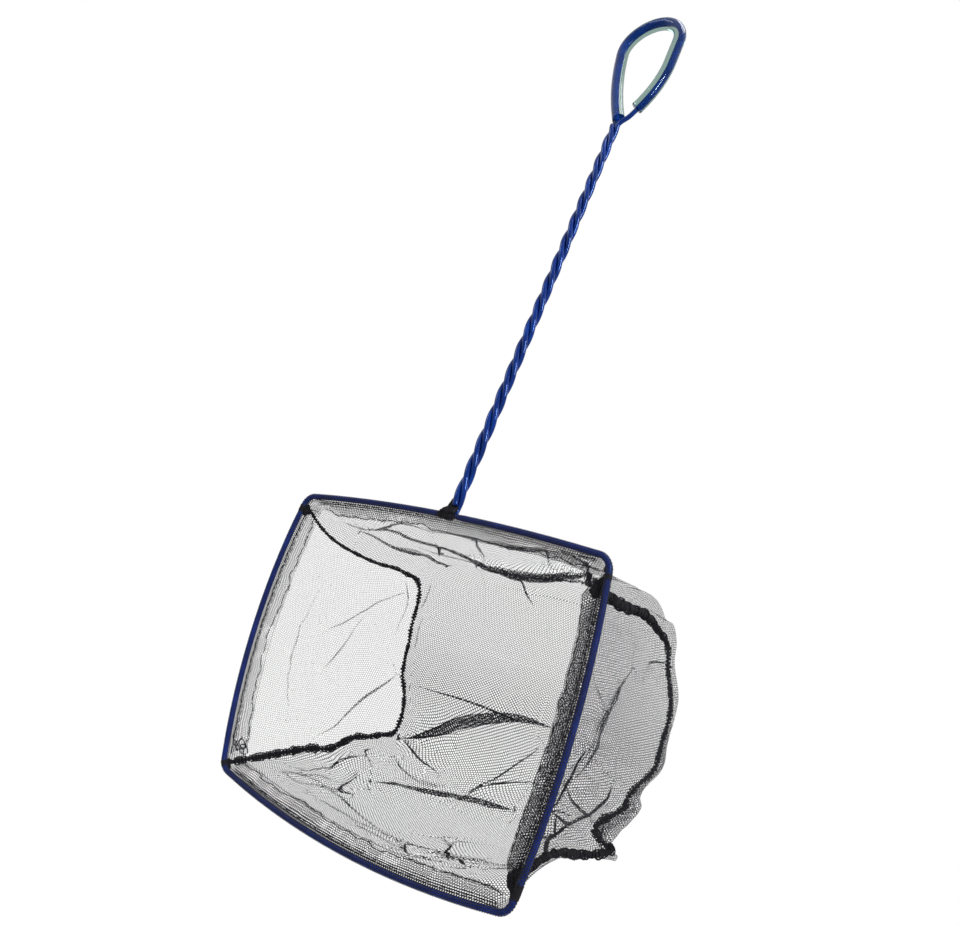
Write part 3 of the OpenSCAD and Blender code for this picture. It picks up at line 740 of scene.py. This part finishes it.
def fold(s, t, lift, points, width, peak=0.5, droop=0.0):
    """Netting pulled over itself in a tuck along a line, which is widest at a share of its way and may hang
    down by droop."""
    near, e, b, half = beside_fold(s, t, points, width, peak)
    # inside the tuck the netting runs back under itself, and outside it the shift fades away
    x = b / half
    shape = np.where(np.abs(x) < 1, x, np.sign(x) * np.exp(-(np.abs(x) - 1) * half / FOLD_REACH))
    s, t, lift = s.copy(), t.copy(), lift.copy()
    s[near] += e[:, 1] * 2 * half * shape
    t[near] -= e[:, 0] * 2 * half * shape
    lift[near] += FOLD_LAYER * np.minimum(1, half / 0.5) * shape
    ridge = np.exp(-((b - 2 * half * shape) / (1.5 * half)) ** 2)
    lift[near] += droop * half / width * ridge
    return s, t, lift


def gathered(p, folds):
    """How much more thread the netting shows at points, which is most in the narrow folds."""
    more = np.zeros(len(p))
    for tuck in folds:
        near, _, b, half = beside_fold(p[:, 0], p[:, 1], *tuck[:3])
        dense = np.minimum(1, half / 0.6) / (1 + (half / 3.2) ** 2)
        more[near] = np.maximum(more[near], np.exp(-(b / (1.5 * half + 0.3)) ** 2) * dense)
    return 1 + FOLD_GATHER * more


# each fold: its points as (s, t), its half width, and where given, where it is widest and its droop
CENTRE_FOLDS = [
    ([(57, -46), (65, -19), (70, 0), (66, 22), (58, 62)], 4.6, 0.6, 8.0),
    ([(82, -34), (90, -12), (90, 14), (80, 44)], 1.6, 0.5, 2.0),
    ([(40, -98), (54, -88), (75, -80), (108, -73)], 2.4, 0.65, 3.0),
    ([(26, -78), (43, -57), (56, -39), (64, -18)], 1.3),
    ([(4, 12), (28, -4), (64, -15)], 0.9),
    ([(24, -71), (10, -50), (3, -29)], 1.1),
    ([(6, 20), (22, 44), (48, 62)], 1.3),
    ([(12, 74), (36, 66), (56, 58)], 1.3, 0.6),
    ([(14, 26), (36, 38), (56, 32)], 1.0),
    ([(104, -19), (120, -20), (130, -13)], 0.8),
    ([(126, -92), (136, -97), (144, -100)], 1.2),
    ([(148, -94), (160, -97), (174, -98)], 0.9),
    ([(200, -93), (196, -67), (193, -32), (194, 4)], 0.9),
    ([(238, -86), (224, -71), (208, -45), (197, -15), (195, 14)], 4.2, 0.35),
    ([(236, -84), (226, -68), (218, -52)], 1.2),
    ([(289, -58), (274, -45), (260, -32), (252, -11), (247, 12)], 3.8, 0.45),
    ([(274, -50), (269, -34), (258, -20)], 1.1),
    ([(267, -21), (242, -20), (224, -8), (205, 9)], 1.1),
    ([(264, -28), (239, -14), (226, 12)], 1.0),
    ([(236, -84), (242, -65), (246, -44)], 1.2),
    ([(256, -74), (261, -52), (250, -38)], 1.2),
    ([(332, -84), (308, -80), (280, -85)], 1.1),
    ([(308, -78), (291, -82), (272, -77)], 1.1),
    ([(262, -84), (272, -80), (278, -66)], 1.0),
    ([(306, -52), (311, -60), (287, -68)], 1.3),
    ([(341, -80), (335, -69), (305, -54)], 1.0),
    ([(328, -80), (319, -56), (323, -24), (334, 12)], 1.3),
    ([(346, -78), (324, -75), (308, -66)], 1.1),
    ([(343, -22), (338, 0), (344, 15)], 1.3),
    ([(330, 4), (346, 22), (338, 34)], 1.3),
    ([(300, 7), (315, 24), (344, 56)], 1.6, 0.6),
    ([(336, 20), (323, 28), (297, 14)], 1.2),
    ([(332, 18), (322, 30), (320, 50)], 1.4),
    ([(338, -60), (332, -20), (322, 20), (318, 44), (326, 74)], 1.9, 0.7),
    ([(236, 36), (262, 44), (300, 80)], 1.9),
    ([(206, 60), (236, 52), (262, 30)], 1.3),
    ([(196, 40), (220, 30), (244, 32)], 1.0),
    ([(230, 66), (256, 76), (290, 84)], 1.2),
]
LEFT_FOLDS = [
    ([(72, -22), (58, -2), (46, 16)], 0.9),
    ([(98, -42), (66, -24), (40, -8)], 0.9),
    ([(104, 12), (74, 34), (46, 54)], 1.3, 0.4),
    ([(90, -52), (99, -32), (96, -10)], 0.8),
    ([(30, -40), (20, 0), (24, 46)], 0.9),
]
RIGHT_FOLDS = [
    ([(52, -46), (48, -30), (38, -5), (25, 28)], 2.2, 0.65),
    ([(49, -36), (35, -11), (21, 19)], 1.0),
    ([(104, -48), (79, -44), (61, -33)], 1.0),
    ([(13, -34), (24, -21), (37, -12)], 0.8),
    ([(17, 19), (40, 34), (80, 46)], 1.0),
    ([(12, 33), (34, 43), (60, 50)], 1.0),
]


def net_panel(grid, pitch, thread, folds):
    """A net's mesh on a grid, with its folds, and the surface that carries it."""
    surface = Surface(grid)

    def drawn_up(p):
        return thread(p) * gathered(p, folds)

    pts, quads, tris = hex_net(surface.s[-1], surface.width.max(), pitch, drawn_up)
    s, t = pts[:, 0], pts[:, 1]
    used, quads, tris = kept(surface.inside(s, t), quads, tris)
    s0, t0 = s[used], t[used]
    s, t, lift = s0, t0, np.zeros(len(s0))
    for points, width, *rest in folds:
        # a fine crease is a tuck in a tuck
        for share in (1.0,) if width > FINE_FOLD else (1.0, INNER_TUCK):
            s, t, lift = fold(s, t, lift, points, width * share, *rest)
    half = np.interp(s0, surface.s, surface.width) / 2
    s = s0 + (s - s0) * smooth_step(np.minimum(s0, surface.s[-1] - s0) / SEWN)
    t = t0 + (t - t0) * smooth_step((half - np.abs(t0)) / SEWN)
    return (surface.at(s, t, lift), quads, tris), surface


# each net: its grid, its pitch, the thread's width at places along it, its folds and the node it stands for
NETS = (
    ("centre_net", grids[0], 1.4, (0, 100, 160, 190, 240, 280, 340),
        (0.24, 0.25, 0.29, 0.37, 0.34, 0.33, 0.37), CENTRE_FOLDS, "centre_panel"),
    ("left_end_net", grids[1], 1.35, (0, 110), (0.152, 0.152), LEFT_FOLDS, "left_end_panel"),
    ("right_end_net", grids[2], 1.35, (0, 50, 85, 110), (0.29, 0.25, 0.20, 0.19),
        RIGHT_FOLDS, "right_end_panel"),
)
for name, grid, pitch, places, widths, folds, node in NETS:
    def thread(p, places=places, widths=widths):
        return np.interp(p[:, 0], places, widths)

    mesh, surface = net_panel(grid, pitch, thread, folds)
    o = new_piece(name, mesh, NET, [node])

# ---- the hem: netting folded round the wire, with its stitches


def hem_section():
    """Across the hem: up the inner flap, round the wire and back along the outer flap, as (out, depth)."""
    r = WIRE_R + 0.22
    pts = [(-0.35, HEM_DEPTH), (-0.4, 6.5), (-0.45, 4.2), (-0.6, 2.9), (-1.3, 1.6)]
    pts += [(r * math.cos(a), r * math.sin(a)) for a in np.radians(np.linspace(160, 380, 12))]
    pts += [(1.3, 1.6), (0.6, 2.9), (0.45, 4.2), (0.4, 6.5), (0.35, HEM_DEPTH + 0.6)]
    return spline(pts, 6)


SECTION = hem_section()
SECTION_S = np.concatenate([[0], np.cumsum(np.linalg.norm(np.diff(SECTION, axis=0), axis=1))])


# the free edge's waves aside and outward: how fast, the seed and how far, and the outer flap's share
EDGE_ASIDE = (((0.11, 3, 1.1), (0.43, 4, 0.45)), 0.6)
EDGE_OUT = (((0.07, 5, 1.6), (0.5, 6, 0.7)), 0.25)


def flap_wave(length, depth, inner):
    """How far the flap's free edge waves aside, and how far it runs out, at places on the hem."""
    flap = smooth_step((depth - 3) / 6)
    return [
        flap * sum(far * wobble(length * fast, seed) for fast, seed, far in waves) * (1.0 if inner else outer)
        for waves, outer in (EDGE_ASIDE, EDGE_OUT)
    ]


def on_hem(length, across):
    """Points on the hem at lengths along the hoop and along its section."""
    x = np.interp(across, SECTION_S, SECTION[:, 0])
    y = np.interp(across, SECTION_S, SECTION[:, 1])
    inner = across < SECTION_S[-1] / 2
    si, ri = flap_wave(length, y, True)
    so, ro = flap_wave(length, y, False)
    return hem_place(length, x + np.where(inner, si, so), y + np.where(inner, ri, ro))


HEM_SHARES = [0.72, 0.85, 1.1, 1.1, 1.15, 1.1, 1.1, 0.9]  # of the thread's width, for each arc of the hoop
HEM_THREAD = ([0, 2, 4, 6.5, 13], [0.3, 0.36, 0.52, 0.31, 0.23])  # across from the wire: the thread's width


def hem_thread(p):
    """The hem's thread is drawn up round the wire, and more so at the top and the right."""
    k = np.clip(np.searchsorted(ARC_STARTS, p[:, 0], side="right") - 1, 0, 7)
    return np.array(HEM_SHARES)[k] * np.interp(np.abs(p[:, 1]), *HEM_THREAD)


FOOT0, FOOT1 = top_length(HANDLE_OFFSET + 6), top_length(HANDLE_OFFSET - 6)
pts, quads, tris = hex_net(HOOP_LENGTH + 1, SECTION_S[-1], 1.35, hem_thread)
length, off = pts[:, 0], pts[:, 1]
across = off + SECTION_S[-1] / 2
keep = (length >= 0) & (length <= HOOP_LENGTH + 1) & (across >= 0) & (across <= SECTION_S[-1])
keep &= ~((length > FOOT0) & (length < FOOT1) & (off > 0.4) & (off < 5))  # open where the handle comes out
used, quads, tris = kept(keep, quads, tris)
hem = on_hem(length[used], across[used]), quads, tris
new_piece("hem_net", hem, NET, ["top_hem", "left_hem", "right_hem", "bottom_hem"])


def stitches(place, lengths, dash, gap, radius, seed):
    """Short threads along a line that place() gives at lengths."""
    parts, x, r = [], lengths[0], np.random.default_rng(seed)
    while x < lengths[1]:
        n = dash * r.uniform(0.8, 1.25)
        line = place(np.linspace(x, min(x + n, lengths[1]), 7))
        parts.append(tube_mesh(line, radius, 5))
        x += n + gap * r.uniform(0.7, 1.4)
    return parts


# each row of stitches: its side of the hem, its depth, the stitch, the gap, the thread's radius and the seed
STITCH_ROWS = (
    (-1, 3.4, 3.4, 0.6, 0.3, 41), (1, 3.4, 2.4, 0.8, 0.24, 42),
    (-1, 4.6, 2.8, 1.0, 0.2, 44), (-1, 9.6, 6.0, 1.0, 0.26, 43),
)
parts = []
for side, depth, dash, gap, thick, seed in STITCH_ROWS:
    for k in (LEFT, BOTTOM, RIGHT, TOP):
        def place(x, side=side, depth=depth):
            aside, out = flap_wave(x, depth + 0 * x, side < 0)
            aside = side * (0.95 if depth < 5 else 0.75) + aside
            return hem_place(x, aside, depth + out + 0.25 * wobble(x * 0.6, 9))

        parts += stitches(place, (ARC_STARTS[k] + 2, ARC_STARTS[k + 1] - 2), dash, gap, thick, seed + k * 7)
new_piece("hem_stitches", joined(parts), THREAD)

# ---- seams


def wrapped(line, core_r, pitch, seed, thread_r=0.24, squash=0.8, lumps=0.25, core_share=1.0, ways=(1,)):
    """A lumpy core with thread wound round it, one way or both. A low core_share leaves the windings open."""
    line = resampled(line, step=0.8)
    x = np.arange(len(line)) * 0.8
    core_r = np.atleast_1d(core_r)
    core_r = np.interp(x, np.linspace(0, x[-1], len(core_r)), core_r)
    radius = core_r * (1 + lumps * wobble(x * 0.55, seed) + 0.5 * lumps * wobble(x * 1.7, seed + 1))
    turn = wobble(x * 0.2, seed + 2) * 1.2
    parts = [tube_mesh(line, radius * core_share, 10, squash=squash, turn=turn)]
    s = np.linspace(0, x[-1], int(x[-1] / pitch * 10))
    across, up = frames_along(line, (0, 1, 0))
    r = np.interp(s, x, radius) + thread_r * 0.5
    tu = np.interp(s, x, turn)

    def read(grid):
        return np.stack([np.interp(s, x, grid[:, i]) for i in range(3)], -1)

    for way in ways:
        a = way * (2 * np.pi * s / pitch + 0.5 * wobble(s * 0.9, seed + 3 + way))
        ca, sa = np.cos(a) * r, np.sin(a) * r * squash
        wound = read(line) + read(across) * (ca * np.cos(tu) - sa * np.sin(tu))[:, None]
        wound += read(up) * (ca * np.sin(tu) + sa * np.cos(tu))[:, None]
        parts.append(tube_mesh(wound, thread_r, 5, ref=(0.3, 1, 0.2)))
    return joined(parts)


for name, line, core, node, seed in (
    ("left_seam_thread", left_line, (0.7, 0.75, 0.9, 1.4, 1.1, 1.2, 1.4, 2.0, 2.3, 2.0), "left_seam", 11),
    ("right_seam_thread", right_line, (2.5, 2.5, 2.0, 1.3, 1.2, 1.4, 2.0, 2.0, 1.4, 1.8), "right_seam", 21),
):
    mesh = wrapped(line, core, 2.1, seed, thread_r=0.33, lumps=0.4, core_share=0.6, ways=(1, -1))
    new_piece(name, mesh, THREAD, [node])

# ---- tacks at the corners: thread wound round the wire and over the seam's end


def on_wire(lengths):
    p = on_hoop(lengths)[0]
    return np.stack([p[:, 0], np.zeros(len(p)), p[:, 1]], -1)


# each tack: its corner, the stretch of wire that it winds round, and the lumps inside the hoop as
# (lengths from the corner's middle, depths in the hem, radius)
TACKS = (
    ("top_left_tack", TOP_LEFT, (5, 9), (((3.5, 10.5), (2.0, 3.0), 2.1), ((6, 8.5), (2.5, 5.5), 1.7)), 31),
    ("top_right_tack", TOP_RIGHT, (-9, -6.5), (
        ((0, -12), (2.6, 3.4), 1.6), ((-8, -18), (6.5, 5.5), 2.3), ((-11, -16), (9.0, 8.0), 1.5),
    ), 32),
    ("bottom_left_tack", BOTTOM_LEFT, (-3, 0.5), (
        ((-4, 3), (2.2, 2.2), 1.3), ((-1.5, -1.5), (2.0, 6.0), 1.6),
    ), 33),
    ("bottom_right_tack", BOTTOM_RIGHT, (6, 12.5), (
        ((1, 7), (3.0, 4.0), 1.2), ((6, 13), (8.5, 9.5), 1.7),
        ((5, 16), (5.0, 6.0), 1.5), ((12, 20), (3.0, 3.0), 1.2),
    ), 34),
)
for name, k, wrap, lumps, seed in TACKS:
    line = on_wire(middle(k) + np.linspace(*wrap, 12))
    parts = [wrapped(line, 1.62, 0.6, seed, thread_r=0.2, squash=1.0, lumps=0.04)]
    for i, (lengths, depths, radius) in enumerate(lumps):
        side = hem_place(middle(k) + np.linspace(*lengths, 12), 0.0, np.linspace(*depths, 12))
        shape = np.array([0.5, 0.9, 1.0, 0.9, 0.5]) * radius
        parts.append(wrapped(side, shape, 0.8, seed + 10 * i, lumps=0.45))
    new_piece(name + "_thread", joined(parts), THREAD, [name])

# thread tails that curl by the lower left corner: each one's middle, radius, turns and seed
TAILS = (
    (-96.0, -66.5, 2.4, 1.7, 1), (-92.5, -64.0, 3.0, 1.3, 2), (-90.0, -66.5, 3.2, 0.9, 3),
    (-98.0, -62.0, 2.6, 0.8, 4),
)
parts = []
for x, z, r, turns, seed in TAILS:
    a = np.linspace(0, 2 * np.pi * turns, 60)
    shrink = r * (1 - 0.3 * a / a[-1])
    depth = 4 + 1.6 * np.sin(a * 0.7 + seed)
    line = np.stack([x + shrink * np.cos(a + seed * 2), depth, z + shrink * np.sin(a + seed * 2)], -1)
    parts.append(tube_mesh(line, 0.3, 6))
new_piece("thread_tails", joined(parts), THREAD)

# ---- the handle

BASE = at_depth(on_hoop(np.array([top_length(HANDLE_OFFSET)]))[0][0], 0)
UP = np.array([0, math.sin(math.radians(HANDLE_LEAN)), math.cos(math.radians(HANDLE_LEAN))])
BACKWARD = np.array([0, math.cos(math.radians(HANDLE_LEAN)), -math.sin(math.radians(HANDLE_LEAN))])
STRAND_STEP = 3.12  # from one strand's middle to the next one's
TOUCH_R = STRAND_STEP / math.sqrt(3)
HELIX_R = TOUCH_R / math.sqrt(1 - (math.pi * TOUCH_R / TWIST_PITCH) ** 2)
TWIST0, TWIST1 = FOOT_R, HANDLE_LEN - 3.0
TURNS = round((TWIST1 - TWIST0) / TWIST_PITCH) - 1 / 6
FIRST = {"left": 180, "right": 60, "return": -60}  # where each strand starts round the handle, in degrees
BEND_PULL = 1.657  # the pull at a bend's ends, for each unit of its radius, that makes it a quarter circle


def on_handle(across, back, up):
    across, back, up = np.broadcast_arrays(across, back, up)
    return BASE + across[..., None] * [1, 0, 0] + back[..., None] * BACKWARD + up[..., None] * UP


def strand_point(first, up):
    a = np.radians(first - 360 * TURNS * (np.asarray(up, float) - TWIST0) / (TWIST1 - TWIST0))
    return on_handle(HELIX_R * np.cos(a), HELIX_R * np.sin(a), up)


def strand_way(first, up):
    return unit(strand_point(first, up + 1.5) - strand_point(first, up - 1.5))


def bend(p, way_p, q, way_q, r=None, n=14):
    """A smooth bend between two points and their ways. Without a radius it fits the gap."""
    pull = BEND_PULL * r if r else np.linalg.norm(q - p)
    t = np.linspace(0, 1, n, endpoint=False)[:, None]
    start = p * (2 * t**3 - 3 * t**2 + 1) + way_p * pull * (t**3 - 2 * t**2 + t)
    return start + q * (3 * t**2 - 2 * t**3) + way_q * pull * (t**3 - t**2)


# the finger loop: its top bend, its right leg with the foot's bend and bare end, and its left leg's bend
LOOP_R, LOOP_X, LOOP_TOP = 20.0, 1.7, HANDLE_LEN + 83.0
RIGHT_LEG, LOOP_FOOT_R, LOOP_FOOT_SWEEP, BARE_LEN = 17.0, 67.0, 32.6, 6.0
LEFT_LEG_R, LEFT_START, LEFT_SWEEP = 200.0, 188.5, 17.4
BARE_WAY, LEFT_WAY = 90 - LOOP_FOOT_SWEEP, LEFT_START + LEFT_SWEEP - 90
SLEEVE_R, SLEEVE_SHIFT = 3.9, 1.0


def arc_points(centre, r, a0, a1, n):
    return centre + r * np.stack([polar(a) for a in np.linspace(a0, a1, n)])


def loop_line(inset=0.0):
    """The finger loop in its own plane, from the foot of the right leg over the top to the left leg's end."""
    centre = np.array([LOOP_X, LOOP_TOP - LOOP_R])
    foot_centre = centre + [LOOP_R - LOOP_FOOT_R, -RIGHT_LEG]
    left_centre = centre + (LOOP_R - LEFT_LEG_R) * polar(LEFT_START)
    return np.vstack([
        arc_points(foot_centre, LOOP_FOOT_R - inset, -LOOP_FOOT_SWEEP, 0, 30),
        arc_points(centre, LOOP_R - inset, 0, LEFT_START, 60),
        arc_points(left_centre, LEFT_LEG_R - inset, LEFT_START, LEFT_START + LEFT_SWEEP, 40)[1:],
    ])


loop_pts = loop_line()
bare_foot, left_end = loop_pts[0] - BARE_LEN * polar(BARE_WAY), loop_pts[-1]


def in_loop(p):
    p = np.asarray(p, float).reshape(-1, 2)
    return on_handle(p[:, 0], 0.0, p[:, 1])


def plane_way(a):
    return np.array([math.cos(math.radians(a)), 0, 0]) + UP * math.sin(math.radians(a))


def strand_lines():
    """The three strands' lines. Left and right rise from the hoop, and return comes down from the loop."""
    def twisted(key, low, high):
        return strand_point(FIRST[key], np.linspace(low, high, int((high - low) / 1.4)))

    lines = {}
    for key, sign in (("left", 1), ("right", -1)):
        p, out = on_hoop(np.array([top_length(HANDLE_OFFSET - sign * FOOT_R)]))
        way = -sign * at_depth(turn_left(out[0]), 0)
        first = FIRST[key]
        foot = bend(at_depth(p[0], 0), way, strand_point(first, TWIST0), strand_way(first, TWIST0), FOOT_R)
        lines[key] = [foot, twisted(key, TWIST0, TWIST1 - (0 if key == "left" else 1.5))]
    lines["return"] = [twisted("return", 5.5, TWIST1 - 1.5)]
    for key, end, angle, more in (
        ("right", left_end, LEFT_WAY, []), ("return", bare_foot, BARE_WAY, [in_loop(loop_pts[0])[0]]),
    ):
        end, start = in_loop(end)[0], strand_point(FIRST[key], TWIST1)
        lines[key] += [bend(start, strand_way(FIRST[key], TWIST1), end, plane_way(angle)), [end, *more]]
    return {key: np.vstack(line) for key, line in lines.items()}


strands = strand_lines()
for key in ("left", "right", "return"):
    node = "handle_strand_" + key
    mesh = tube_mesh(resampled(strands[key], step=1.2), WIRE_R, 20, ref=BACKWARD)
    new_piece(node + "_wire", mesh, HANDLE_BLUE, [node])

# mesh bunched round the left strand's foot and the wire beside it
foot = resampled(strands["left"], step=0.8)
rise = (foot - BASE) @ UP
parts = [wrapped(foot[rise < 15], (2.3, 2.3, 2.1, 1.75), 1.0, 61, thread_r=0.28, squash=1.0, lumps=0.12)]
for up0, back in ((1.0, -1.4), (1.0, 1.4), (2.6, 0.0)):
    between = on_handle(np.linspace(-FOOT_R - 2, FOOT_R - 3, 12), back, np.linspace(up0, up0 + 1.5, 12))
    parts.append(wrapped(between, (0.9, 1.6, 1.6, 1.2), 1.1, 64, thread_r=0.3, squash=0.9, lumps=0.3))
beside = np.linspace(top_length(HANDLE_OFFSET + 1), top_length(HANDLE_OFFSET - FOOT_R - 3.5), 24)
parts.append(wrapped(on_wire(beside), (1.8, 1.8, 1.65), 1.1, 62, thread_r=0.22, squash=1.0, lumps=0.05))
new_piece("foot_wrap", joined(parts), THREAD)

# the loop's wire, and the sleeve's outer skin: its clear wall lies close on the wire and makes it look broad
mesh = tube_mesh(resampled(in_loop(loop_pts), step=0.8), WIRE_R, 24, ref=BACKWARD)
new_piece("finger_loop", mesh, LOOP_BLUE, ["loop_wire"])
line = in_loop(resampled(loop_line(SLEEVE_SHIFT), step=1.0))
mesh = tube_mesh(line, SLEEVE_R, 40, ref=BACKWARD)
new_piece("sleeve_skin", mesh, CLEAR, ["grip_sleeve"])

hoop = next(x for x in bpy.data.objects if x.get("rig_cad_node") == "hoop_wire")
hoop.data.materials.clear()
hoop.data.materials.append(HOOP_BLUE)

# ---- floor, light and camera

white = bpy.data.materials.new("backdrop")
white.use_nodes = True
for socket, value in (
    ("Base Color", (0.95, 0.95, 0.95, 1)), ("Roughness", 0.9), ("Emission Color", (1, 1, 1, 1)),
    ("Emission Strength", 0.05),
):
    white.node_tree.nodes["Principled BSDF"].inputs[socket].default_value = value
bpy.ops.mesh.primitive_plane_add(size=60, location=(0, 0, cad_box[0][2] - 2.5))
floor = bpy.context.object
floor.name = "floor"
floor.data.materials.append(white)

scene = bpy.context.scene
world = bpy.data.worlds.new("studio")
scene.world = world
world.use_nodes = True
world.node_tree.nodes["Background"].inputs["Color"].default_value = (1, 1, 1, 1)
world.node_tree.nodes["Background"].inputs["Strength"].default_value = 1.0


def softbox(name, place, size, power):
    light = bpy.data.lights.new(name, "AREA")
    light.shape, light.size, light.size_y, light.energy = "RECTANGLE", *size, power
    o = bpy.data.objects.new(name, light)
    scene.collection.objects.link(o)
    o.location = place
    aim = Vector((0, 0, -0.2)) - o.location
    o.rotation_euler = aim.to_track_quat("-Z", "Y").to_euler()


softbox("key", (1.36, -0.35, 0.35), (0.3, 0.6), 30)
softbox("side", (-0.9, -1.2, 0.9), (0.7, 0.7), 8)
softbox("top", (0.3, 0.2, 1.6), (1.0, 1.0), 18)

camera = bpy.data.objects.new("camera", bpy.data.cameras.new("camera"))
scene.collection.objects.link(camera)
camera.data.sensor_width, camera.data.lens = 36, 33.75
camera.data.clip_start, camera.data.clip_end = 0.01, 100
# the camera's right, up and back ways, and its place, as fitted to the photograph
view = Matrix(((0.7875, 0.548, 0.2819), (-0.1151, -0.3187, 0.9409), (0.6055, -0.7734, -0.1879)))
view = view.transposed().to_4x4()
view.translation = Vector(to_frame([295.3, -359.5, 25.8]))
camera.matrix_world = view
scene.camera = camera
scene.view_settings.view_transform = "Standard"
